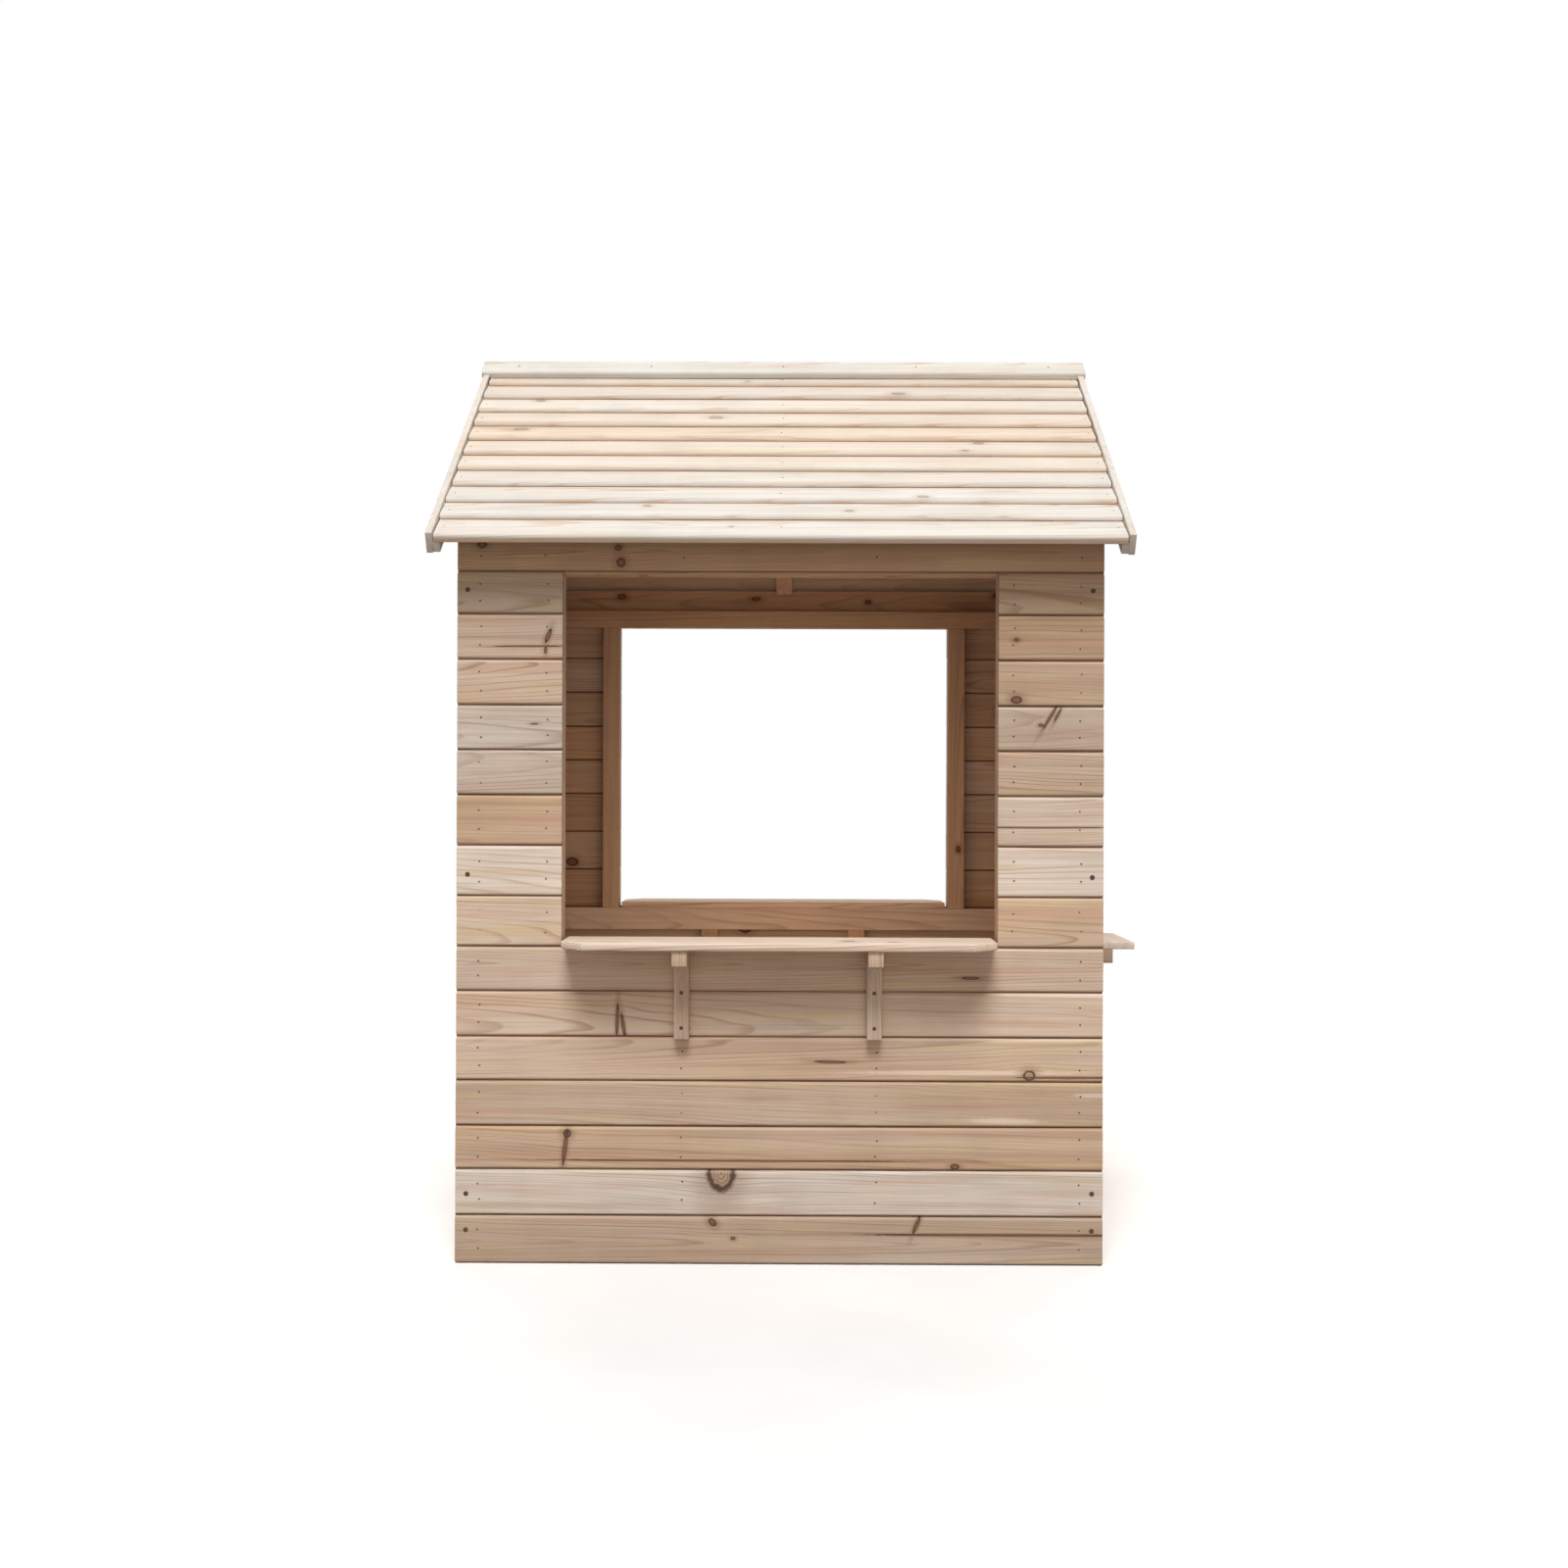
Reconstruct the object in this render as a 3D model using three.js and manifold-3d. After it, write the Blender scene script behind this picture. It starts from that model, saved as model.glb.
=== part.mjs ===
// A child's wooden playhouse: two eave walls with a serving window and shelf each, a closed
// gable, a gable with a side window and a hinged door, and a gable roof of lapped boards.
// Millimetres, +Z up. The front serving window faces -Y and the door gable faces +X.
// On an eave wall, and on the roof slope above it, left and right are as seen from outside.

import * as THREE from 'three';
import { mergeVertices } from 'three/addons/utils/BufferGeometryUtils.js';
import Module from 'manifold-3d';

const wasm = await Module();
wasm.setup();

// ---- Driving dimensions ----

// Walls
const HALF_WIDTH = 500;
const HALF_DEPTH = 520;
const CLADDING = 12;
const POST = 34;
const LOWER_ROWS = [75, 71, 67, 70, 68, 70, 69];
const UPPER_ROWS = [78, 78, 78, 69.5, 69.5, 70.5, 70, 66];
const GABLE_ROW = 75.5;
const GROOVE_DEPTH = 4;
const GROOVE_BELOW = 5;
const GROOVE_ABOVE = 1.5;

// Serving windows and their shelves
const WINDOW_HALF_WIDTH = 336.5;
const SHELF_THICK = 12;
const SHELF_OUT = 88;
const SHELF_CLEARANCE = 5;
const SHELF_CORNER = 36;
const STUD_CENTRE = 150;
const SILL_RAIL = 44;
const TOP_RAIL_DROP = 4.5;
const BRACKET_WIDTH = 23;
const BRACKET_CENTRES = { left: -150, right: 146 };
const BRACKET_LEG = 141;
const BRACKET_LEG_THICK = 21;
const BRACKET_ARM = 24;
const BRACKET_ARM_OUT = 84;
const BRACKET_COVE = 30;
const BRACKET_COVE_STEPS = 9;

// Door gable: distances are along Y, from front to back
const SIDE_WINDOW_FROM = -292;
const SIDE_WINDOW_TO = -71;
const SIDE_SILL = 470;
const SIDE_HEAD = 1003.5;
const SIDE_SHELF_IN = 12;
const SIDE_SHELF_CLEARANCE = 2;
const SIDE_ARM_OUT = 52;
const SIDE_ARM_SIZE = 23;
const DOORWAY_FROM = 34;
const DOORWAY_TO = 474;

// Door and its fittings
const DOOR_CLEARANCE = 4;
const DOOR_STOP = 10;
const STOP_GAP = 0.5;
const DOOR_FLOOR_GAP = 12;
const DOOR_BOARDS = 6;
const LEDGE_THICK = 18;
const LEDGE_HEIGHT = 70;
const LEDGE_INSET = 22;
const LEDGE_FROM_END = 140;
const HINGE_FROM_END = 175;
const HINGE_LENGTH = 60;
const LEAF_THICK = 2;
const LEAF_WIDTH = 26;
const LEAF_STANDOFF = 0.2;
const BARREL_RADIUS = 4;
const BARREL_BORE = 2.35;
const BARREL_GAP = 0.4;
const PIN_RADIUS = 2.25;
const PIN_HEAD_RADIUS = 3.6;
const PIN_HEAD = 2;
const KNOB_RADIUS = 16;
const KNOB_OUT = 30;
const KNOB_HEIGHT = 520;

// Roof
const PITCH = THREE.MathUtils.degToRad(32.6);
const EAVE_HEIGHT = 1117;
const EAVE_OVERHANG = 72;
const ROOF_BOARD = 14;
const ROOF_STEP = 8.5;
const EAVE_BOARD_SHOWING = 70;
const ROOF_BOARD_SHOWING = 62.5;
const ROOF_HALF_LENGTH = 527;
const BARGE_THICK = 10;
const BARGE_RISE = 3;
const BARGE_DROP = 31;
const VERGE_BATTEN = 10.5;
const RAFTER_HALF_WIDTH = 16;
const RAFTER_DEPTH = 24;
const RAFTER_INSET = 78;
const CAP_WIDTH = 42;
const CAP_THICK = 10;
const CAP_PAST_BARGE = 4;
const CONTACT_GAP = 0.3;

// ---- Places worked out from them ----

const sum = (values) => values.reduce((total, value) => total + value, 0);
const SILL = sum(LOWER_ROWS);
const HEAD = SILL + sum(UPPER_ROWS);
const WALL_TOP = HEAD + GABLE_ROW;
const FRAME_OUT = HALF_DEPTH - CLADDING;
const FRAME_IN = FRAME_OUT - POST;
const GABLE_OUT = HALF_WIDTH - CLADDING;
const GABLE_IN = GABLE_OUT - POST;
const EAVE_REACH = HALF_DEPTH + EAVE_OVERHANG;
const SLOPE_LENGTH = EAVE_REACH / Math.cos(PITCH);
const HINGE_X = HALF_WIDTH + LEAF_STANDOFF + LEAF_THICK + BARREL_RADIUS - 1;
const HINGE_Y = DOORWAY_TO + 2;
// The side shelf reaches further out than the roof does, so the house stands off centre.
const SIDE_REACH = HALF_WIDTH + SHELF_OUT;
const ROOF_REACH = ROOF_HALF_LENGTH + BARGE_THICK;
const CAP_REACH = ROOF_REACH + CAP_PAST_BARGE;
const CENTRE_SHIFT = (CAP_REACH - SIDE_REACH) / 2;

// ---- Materials ----

const wood = (color, roughness = 0.75) =>
  new THREE.MeshStandardMaterial({ color, roughness, metalness: 0 });
const claddingWood = () => wood(0xc8aa8c);
const frameWood = () => wood(0xb59674, 0.8);
const shelfWood = () => wood(0xe3cfb2, 0.7);
const roofWood = () => wood(0xf0e0c8, 0.7);
const zincSteel = () => new THREE.MeshStandardMaterial({
  color: 0xb4b6b8,
  roughness: 0.4,
  metalness: 0.9,
});

// ---- Shape helpers ----

function named(name, geometry, material) {
  const mesh = new THREE.Mesh(geometry, material);
  mesh.name = name;
  return mesh;
}

// A box between two opposite corners.
function block(name, [x0, y0, z0], [x1, y1, z1], material) {
  const mesh = named(name, new THREE.BoxGeometry(x1 - x0, y1 - y0, z1 - z0), material);
  mesh.position.set((x0 + x1) / 2, (y0 + y1) / 2, (z0 + z1) / 2);
  return mesh;
}

function extrude(points, length) {
  const outline = new THREE.Shape(points.map(([a, b]) => new THREE.Vector2(a, b)));
  return new THREE.ExtrudeGeometry(outline, { depth: length, bevelEnabled: false });
}

// Outline points are [y, z]; the prism runs from x0 to x1.
function prismAlongX(points, x0, x1) {
  const turn = new THREE.Matrix4().makeBasis(
    new THREE.Vector3(0, 1, 0),
    new THREE.Vector3(0, 0, 1),
    new THREE.Vector3(1, 0, 0),
  );
  return extrude(points, x1 - x0).applyMatrix4(turn).translate(x0, 0, 0);
}

// Outline points are [x, z]; the prism runs from y0 to y1.
function prismAlongY(points, y0, y1) {
  const turn = new THREE.Matrix4().makeBasis(
    new THREE.Vector3(1, 0, 0),
    new THREE.Vector3(0, 0, 1),
    new THREE.Vector3(0, -1, 0),
  );
  return extrude(points, y1 - y0).applyMatrix4(turn).translate(0, y1, 0);
}

// Outline points are [x, y]; the prism runs from z0 to z1.
function prismAlongZ(points, z0, z1) {
  return extrude(points, z1 - z0).translate(0, 0, z0);
}

function toManifold(geometry) {
  const bare = geometry.clone();
  bare.deleteAttribute('normal');
  bare.deleteAttribute('uv');
  const merged = mergeVertices(bare);
  return new wasm.Manifold(new wasm.Mesh({
    numProp: 3,
    vertProperties: merged.attributes.position.array,
    triVerts: Uint32Array.from(merged.index.array),
  }));
}

function fromManifold(solid) {
  const mesh = solid.getMesh();
  const geometry = new THREE.BufferGeometry();
  geometry.setAttribute('position', new THREE.BufferAttribute(mesh.vertProperties, 3));
  geometry.setIndex(new THREE.BufferAttribute(mesh.triVerts, 1));
  geometry.computeVertexNormals();
  return geometry;
}

function intersect(first, second) {
  return fromManifold(toManifold(first).intersect(toManifold(second)));
}

function join(first, ...others) {
  const start = toManifold(first);
  return fromManifold(others.reduce((solid, other) => solid.add(toManifold(other)), start));
}

function subtract(first, second) {
  return fromManifold(toManifold(first).subtract(toManifold(second)));
}

// ---- Cladding ----

// Outline of boards side by side, as [depth, along] points: depth 0 is the outer face, and each
// joint between two boards is a V groove in it.
function claddingOutline(from, to, joints) {
  const outer = joints
    .filter((joint) => joint > from + GROOVE_BELOW && joint < to - GROOVE_ABOVE)
    .flatMap((joint) => [
      [0, joint - GROOVE_BELOW],
      [GROOVE_DEPTH, joint],
      [0, joint + GROOVE_ABOVE],
    ]);
  return [[CLADDING, from], [0, from], ...outer, [0, to], [CLADDING, to]];
}

function rowJoints(from, rows) {
  return rows.map((row, index) => from + sum(rows.slice(0, index + 1)));
}

function wallJoints() {
  const ridge = EAVE_HEIGHT + EAVE_REACH * Math.tan(PITCH);
  const joints = [...rowJoints(0, LOWER_ROWS), ...rowJoints(SILL, UPPER_ROWS)];
  for (let joint = HEAD + GABLE_ROW; joint < ridge; joint += GABLE_ROW) {
    joints.push(joint);
  }
  return joints;
}

// Boards of an eave wall, outer face at y = -HALF_DEPTH.
function eaveBoards(name, x0, x1, z0, z1) {
  const outline = claddingOutline(z0, z1, wallJoints())
    .map(([depth, height]) => [depth - HALF_DEPTH, height]);
  return named(name, prismAlongX(outline, x0, x1), claddingWood());
}

// Boards of a gable, outer face at x = side * HALF_WIDTH.
function gableBoardsGeometry(side, y0, y1, z0, z1) {
  const outline = claddingOutline(z0, z1, wallJoints())
    .map(([depth, height]) => [side * (HALF_WIDTH - depth), height]);
  return prismAlongY(side < 0 ? outline : outline.reverse(), y0, y1);
}

function gableBoards(name, side, y0, y1, z0, z1) {
  return named(name, gableBoardsGeometry(side, y0, y1, z0, z1), claddingWood());
}

// Boards from z0 up, cut off along both roof slopes.
function gableTopBoards(name, side, z0) {
  const boards = gableBoardsGeometry(side, -FRAME_OUT, FRAME_OUT, z0, ridgeZ(0));
  const under = -ROOF_BOARD - CONTACT_GAP;
  const outline = [
    [-FRAME_OUT, z0 - 1],
    [FRAME_OUT, z0 - 1],
    [FRAME_OUT, slopeZ(-FRAME_OUT, under)],
    [0, slopeZ(0, under)],
    [-FRAME_OUT, slopeZ(-FRAME_OUT, under)],
  ];
  const underRoof = prismAlongX(outline, -HALF_WIDTH - 1, HALF_WIDTH + 1);
  return named(name, intersect(boards, underRoof), claddingWood());
}

// ---- Front roof slope, as distances up the slope and square off it ----

// The slope's datum is the plane through the boards' upper lower-edge corners.
function slopePoint(along, above) {
  return [
    -EAVE_REACH + along * Math.cos(PITCH) - above * Math.sin(PITCH),
    EAVE_HEIGHT + along * Math.sin(PITCH) + above * Math.cos(PITCH),
  ];
}

// Height at a given y of the plane that lies above the datum by a given distance.
function slopeZ(y, above) {
  return EAVE_HEIGHT + (y + EAVE_REACH) * Math.tan(PITCH) + above / Math.cos(PITCH);
}

function ridgeZ(above) {
  return slopeZ(0, above);
}

// A strip of the slope between two heights above the datum, mitred at the ridge.
function slopeStrip(fromAlong, low, high) {
  const ridge = -CONTACT_GAP / 2;
  return [
    slopePoint(fromAlong, low),
    [ridge, slopeZ(ridge, low)],
    [ridge, slopeZ(ridge, high)],
    slopePoint(fromAlong, high),
  ];
}

function roofBoardsOutline() {
  const ridge = -CONTACT_GAP / 2;
  const top = [slopePoint(0, 0)];
  for (let edge = EAVE_BOARD_SHOWING; edge < SLOPE_LENGTH - CAP_WIDTH / 2; edge += ROOF_BOARD_SHOWING) {
    top.push(slopePoint(edge, -ROOF_STEP), slopePoint(edge, 0));
  }
  return [
    slopePoint(0, -ROOF_BOARD),
    [ridge, slopeZ(ridge, -ROOF_BOARD)],
    [ridge, slopeZ(ridge, -ROOF_STEP / 2)],
    ...top.reverse(),
  ];
}

// A barge board, lower where the cap lies on it, with the batten that the roof is nailed to.
function barge(name, side) {
  const inner = side * ROOF_HALF_LENGTH;
  const outer = side * ROOF_REACH;
  const battenSide = side * (ROOF_HALF_LENGTH - VERGE_BATTEN);
  const ridge = -CONTACT_GAP / 2;
  const underCap = SLOPE_LENGTH - CAP_WIDTH - CONTACT_GAP;
  const outline = [
    slopePoint(-1, -BARGE_DROP),
    [ridge, slopeZ(ridge, -BARGE_DROP)],
    [ridge, slopeZ(ridge, 0)],
    slopePoint(underCap, 0),
    slopePoint(underCap, BARGE_RISE),
    slopePoint(-1, BARGE_RISE),
  ];
  const board = prismAlongX(outline, Math.min(inner, outer), Math.max(inner, outer));
  const batten = prismAlongX(
    slopeStrip(2, -BARGE_DROP, -ROOF_BOARD - CONTACT_GAP),
    Math.min(inner, battenSide),
    Math.max(inner, battenSide),
  );
  return named(name, join(board, batten), roofWood());
}

function roofSlope(side) {
  const slope = new THREE.Group();
  slope.add(named(
    `${side}_roof_boards`,
    prismAlongX(roofBoardsOutline(), -ROOF_HALF_LENGTH + CONTACT_GAP, ROOF_HALF_LENGTH - CONTACT_GAP),
    roofWood(),
  ));
  slope.add(barge(`${side}_left_barge`, -1));
  slope.add(barge(`${side}_right_barge`, 1));
  const rafterStart = RAFTER_INSET / Math.cos(PITCH);
  slope.add(named(
    `${side}_middle_rafter`,
    prismAlongX(
      slopeStrip(rafterStart, -ROOF_BOARD - RAFTER_DEPTH, -ROOF_BOARD - CONTACT_GAP),
      -RAFTER_HALF_WIDTH,
      RAFTER_HALF_WIDTH,
    ),
    frameWood(),
  ));
  return slope;
}

function ridgeCap() {
  const edge = SLOPE_LENGTH - CAP_WIDTH;
  const low = CONTACT_GAP;
  const high = CONTACT_GAP + CAP_THICK;
  const front = [slopePoint(edge, high), slopePoint(edge, low)];
  const back = front.map(([y, z]) => [-y, z]).reverse();
  const outline = [...front, [0, slopeZ(0, low)], ...back, [0, slopeZ(0, high)]];
  return named(
    'ridge_cap',
    prismAlongX(outline, -CAP_REACH, CAP_REACH),
    roofWood(),
  );
}

// ---- Eave wall with its serving window, facing -Y ----

// Shelf with its two outer corners cut off, lying on the sill.
function servingShelf(name) {
  const half = WINDOW_HALF_WIDTH - SHELF_CLEARANCE;
  const front = -HALF_DEPTH - SHELF_OUT;
  const outline = [
    [-half, -FRAME_IN],
    [-half, front + SHELF_CORNER],
    [-half + SHELF_CORNER, front],
    [half - SHELF_CORNER, front],
    [half, front + SHELF_CORNER],
    [half, -FRAME_IN],
  ];
  return named(name, prismAlongZ(outline, SILL, SILL + SHELF_THICK), shelfWood());
}

// Bracket: a leg screwed to the wall over a stud and an arm under the shelf, with a hollow
// quarter circle between them.
function shelfBracket(name, centre) {
  const wall = -HALF_DEPTH;
  const outline = [
    [wall, SILL - BRACKET_LEG],
    [wall, SILL],
    [wall - BRACKET_ARM_OUT, SILL],
    [wall - BRACKET_ARM_OUT, SILL - BRACKET_ARM],
  ];
  const coveY = wall - BRACKET_LEG_THICK - BRACKET_COVE;
  const coveZ = SILL - BRACKET_ARM - BRACKET_COVE;
  for (let step = 0; step <= BRACKET_COVE_STEPS; step += 1) {
    const angle = (Math.PI / 2) * (step / BRACKET_COVE_STEPS);
    outline.push([
      coveY + BRACKET_COVE * Math.sin(angle),
      coveZ + BRACKET_COVE * Math.cos(angle),
    ]);
  }
  outline.push([wall - BRACKET_LEG_THICK, SILL - BRACKET_LEG]);
  return named(
    name,
    prismAlongX(outline, centre - BRACKET_WIDTH / 2, centre + BRACKET_WIDTH / 2),
    claddingWood(),
  );
}

function eaveWall(side) {
  const wall = new THREE.Group();
  const opening = WINDOW_HALF_WIDTH;
  const railBottom = HEAD - TOP_RAIL_DROP;
  const out = -FRAME_OUT;
  const inn = -FRAME_IN;
  wall.add(eaveBoards(`${side}_header_boards`, -HALF_WIDTH, HALF_WIDTH, HEAD, WALL_TOP));
  wall.add(eaveBoards(`${side}_left_boards`, -HALF_WIDTH, -opening, SILL, HEAD));
  wall.add(eaveBoards(`${side}_right_boards`, opening, HALF_WIDTH, SILL, HEAD));
  wall.add(eaveBoards(`${side}_lower_boards`, -HALF_WIDTH, HALF_WIDTH, 0, SILL));
  for (const [hand, sign] of [['left', -1], ['right', 1]]) {
    const postCentre = sign * (GABLE_OUT - POST / 2);
    const jambCentre = sign * (opening + POST / 2);
    const studCentre = sign * STUD_CENTRE;
    const upright = (name, centre, bottom, top) => block(
      name,
      [centre - POST / 2, out, bottom],
      [centre + POST / 2, inn, top],
      frameWood(),
    );
    wall.add(upright(`${side}_${hand}_corner_post`, postCentre, 0, WALL_TOP));
    wall.add(upright(`${side}_${hand}_jamb`, jambCentre, SILL, railBottom));
    wall.add(upright(`${side}_${hand}_stud`, studCentre, 0, SILL - SILL_RAIL));
    wall.add(shelfBracket(`${side}_${hand}_bracket`, BRACKET_CENTRES[hand]));
  }
  const rail = (name, bottom, top) => block(
    name,
    [-GABLE_IN, out, bottom],
    [GABLE_IN, inn, top],
    frameWood(),
  );
  wall.add(rail(`${side}_sill_rail`, SILL - SILL_RAIL, SILL));
  wall.add(rail(`${side}_top_rail`, railBottom, railBottom + POST));
  wall.add(servingShelf(`${side}_shelf`));
  return wall;
}

// ---- Door gable, facing +X ----

// Rail over the side window and the doorway; its lower lip behind the door stops the door.
function doorHeadRail() {
  const lip = SIDE_HEAD - DOOR_STOP;
  const outline = [
    [-FRAME_IN, SIDE_HEAD],
    [DOORWAY_FROM + STOP_GAP, SIDE_HEAD],
    [DOORWAY_FROM + STOP_GAP, lip],
    [FRAME_IN, lip],
    [FRAME_IN, SIDE_HEAD + POST],
    [-FRAME_IN, SIDE_HEAD + POST],
  ];
  return prismAlongX(outline, GABLE_IN, GABLE_OUT - STOP_GAP);
}

function doorGable() {
  const gable = new THREE.Group();
  gable.add(gableBoards('gable_boards_below_window', 1, -FRAME_OUT, DOORWAY_FROM, 0, SIDE_SILL));
  gable.add(gableBoards('gable_boards_front', 1, -FRAME_OUT, SIDE_WINDOW_FROM, SIDE_SILL, SIDE_HEAD));
  gable.add(gableBoards('gable_boards_middle', 1, SIDE_WINDOW_TO, DOORWAY_FROM, SIDE_SILL, SIDE_HEAD));
  gable.add(gableBoards('gable_boards_rear', 1, DOORWAY_TO, FRAME_OUT, 0, SIDE_HEAD));
  gable.add(gableTopBoards('gable_boards_top', 1, SIDE_HEAD));
  gable.add(block(
    'door_post',
    [GABLE_IN, DOORWAY_FROM - POST, 0],
    [GABLE_OUT, DOORWAY_FROM, SIDE_HEAD],
    frameWood(),
  ));
  gable.add(named('door_head_rail', doorHeadRail(), frameWood()));
  gable.add(block(
    'side_shelf',
    [GABLE_OUT - SIDE_SHELF_IN, SIDE_WINDOW_FROM + SIDE_SHELF_CLEARANCE, SIDE_SILL],
    [SIDE_REACH, SIDE_WINDOW_TO - SIDE_SHELF_CLEARANCE, SIDE_SILL + SHELF_THICK],
    shelfWood(),
  ));
  const frontArm = SIDE_WINDOW_FROM + SIDE_SHELF_CLEARANCE;
  const rearArm = SIDE_WINDOW_TO - SIDE_SHELF_CLEARANCE - SIDE_ARM_SIZE;
  for (const [name, y] of [['side_shelf_front_arm', frontArm], ['side_shelf_rear_arm', rearArm]]) {
    gable.add(block(
      name,
      [HALF_WIDTH, y, SIDE_SILL - SIDE_ARM_SIZE],
      [HALF_WIDTH + SIDE_ARM_OUT, y + SIDE_ARM_SIZE, SIDE_SILL],
      frameWood(),
    ));
  }
  return gable;
}

// ---- Door, closed at rest, and its hinges ----

function doorBoards(y0, y1, z0, z1) {
  const width = (y1 - y0) / DOOR_BOARDS;
  const joints = Array.from({ length: DOOR_BOARDS - 1 }, (_, index) => y0 + width * (index + 1));
  const outline = claddingOutline(y0, y1, joints).map(([depth, y]) => [HALF_WIDTH - depth, y]);
  return named('door_boards', prismAlongZ(outline.reverse(), z0, z1), claddingWood());
}

function cylinderAlongZ(radius, z0, z1, sides = 24) {
  return new THREE.CylinderGeometry(radius, radius, z1 - z0, sides)
    .rotateX(Math.PI / 2)
    .translate(HINGE_X, HINGE_Y, (z0 + z1) / 2);
}

function boxGeometry([x0, y0, z0], [x1, y1, z1]) {
  return new THREE.BoxGeometry(x1 - x0, y1 - y0, z1 - z0)
    .translate((x0 + x1) / 2, (y0 + y1) / 2, (z0 + z1) / 2);
}

// One leaf of a hinge: a plate on one side of the pin, and its share of the barrel.
function hingeLeaf(name, side, bottom, knuckles) {
  const x0 = HALF_WIDTH + LEAF_STANDOFF;
  const x1 = x0 + LEAF_THICK;
  const near = HINGE_Y + side * (BARREL_RADIUS + BARREL_GAP);
  const far = near + side * LEAF_WIDTH;
  const plate = boxGeometry(
    [x0, Math.min(near, far), bottom],
    [x1, Math.max(near, far), bottom + HINGE_LENGTH],
  );
  const barrels = knuckles.flatMap(([from, to]) => [
    cylinderAlongZ(BARREL_RADIUS, from, to),
    boxGeometry(
      [x0, Math.min(HINGE_Y + side, near + side), from],
      [x1, Math.max(HINGE_Y + side, near + side), to],
    ),
  ]);
  const solid = join(plate, ...barrels);
  const bore = cylinderAlongZ(BARREL_BORE, bottom - 1, bottom + HINGE_LENGTH + 1);
  return named(name, subtract(solid, bore), zincSteel());
}

function hingePin(name, bottom) {
  const top = bottom + HINGE_LENGTH;
  const profile = [
    [0, bottom - PIN_HEAD - CONTACT_GAP],
    [PIN_HEAD_RADIUS, bottom - PIN_HEAD / 2 - CONTACT_GAP],
    [PIN_HEAD_RADIUS, bottom - CONTACT_GAP],
    [PIN_RADIUS, bottom - CONTACT_GAP],
    [PIN_RADIUS, top + CONTACT_GAP],
    [PIN_HEAD_RADIUS, top + CONTACT_GAP],
    [PIN_HEAD_RADIUS, top + PIN_HEAD / 2 + CONTACT_GAP],
    [0, top + PIN_HEAD + CONTACT_GAP],
  ].map(([radius, height]) => new THREE.Vector2(radius, height));
  const geometry = new THREE.LatheGeometry(profile, 24).rotateX(Math.PI / 2);
  const mesh = named(name, geometry, zincSteel());
  mesh.position.set(HINGE_X, HINGE_Y, 0);
  return mesh;
}

function hinge(name, bottom) {
  const third = HINGE_LENGTH / 3;
  const low = bottom + third - BARREL_GAP / 2;
  const high = bottom + 2 * third + BARREL_GAP / 2;
  const frameKnuckles = [[bottom, low], [high, bottom + HINGE_LENGTH]];
  const doorKnuckles = [[low + BARREL_GAP, high - BARREL_GAP]];
  const group = new THREE.Group();
  group.add(hingeLeaf(`${name}_frame_leaf`, 1, bottom, frameKnuckles));
  group.add(hingeLeaf(`${name}_door_leaf`, -1, bottom, doorKnuckles));
  group.add(hingePin(`${name}_pin`, bottom));
  return group;
}

// Turned knob, standing on the door's outer face.
function doorKnob(y, z) {
  const neck = KNOB_RADIUS * 0.55;
  const profile = [
    [0, 0],
    [neck * 1.25, 0],
    [neck, KNOB_OUT * 0.2],
    [neck * 0.9, KNOB_OUT * 0.35],
    [KNOB_RADIUS * 0.9, KNOB_OUT * 0.5],
    [KNOB_RADIUS, KNOB_OUT * 0.7],
    [KNOB_RADIUS * 0.8, KNOB_OUT * 0.92],
    [KNOB_RADIUS * 0.4, KNOB_OUT],
    [0, KNOB_OUT],
  ].map(([radius, height]) => new THREE.Vector2(radius, height));
  const geometry = new THREE.LatheGeometry(profile, 24).rotateZ(-Math.PI / 2);
  const mesh = named('door_knob', geometry, shelfWood());
  mesh.position.set(HALF_WIDTH, y, z);
  return mesh;
}

function door() {
  const group = new THREE.Group();
  const y0 = DOORWAY_FROM + DOOR_CLEARANCE;
  const y1 = DOORWAY_TO - DOOR_CLEARANCE;
  const z0 = DOOR_FLOOR_GAP;
  const z1 = SIDE_HEAD - DOOR_CLEARANCE;
  group.add(doorBoards(y0, y1, z0, z1));
  const ledge = (name, bottom) => block(
    name,
    [GABLE_OUT - LEDGE_THICK, y0 + LEDGE_INSET, bottom],
    [GABLE_OUT, y1 - LEDGE_INSET, bottom + LEDGE_HEIGHT],
    frameWood(),
  );
  group.add(ledge('door_lower_ledge', z0 + LEDGE_FROM_END));
  group.add(ledge('door_upper_ledge', z1 - LEDGE_FROM_END - LEDGE_HEIGHT));
  group.add(hinge('lower_hinge', z0 + HINGE_FROM_END - HINGE_LENGTH / 2));
  group.add(hinge('upper_hinge', z1 - HINGE_FROM_END - HINGE_LENGTH / 2));
  group.add(doorKnob(y0 + 2 * KNOB_RADIUS, KNOB_HEIGHT));
  return group;
}

// ---- The house ----

const house = new THREE.Group();
house.name = 'playhouse';
house.position.x = CENTRE_SHIFT;
house.add(eaveWall('front'));
const backWall = eaveWall('back');
backWall.rotation.z = Math.PI;
house.add(backWall);
house.add(gableTopBoards('closed_gable_boards', -1, 0));
house.add(doorGable());
house.add(door());
house.add(roofSlope('front'));
const backSlope = roofSlope('back');
backSlope.rotation.z = Math.PI;
house.add(backSlope);
house.add(ridgeCap());

export default house;
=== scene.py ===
import math
import random

import bmesh
import bpy
from mathutils import Matrix, Vector


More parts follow.
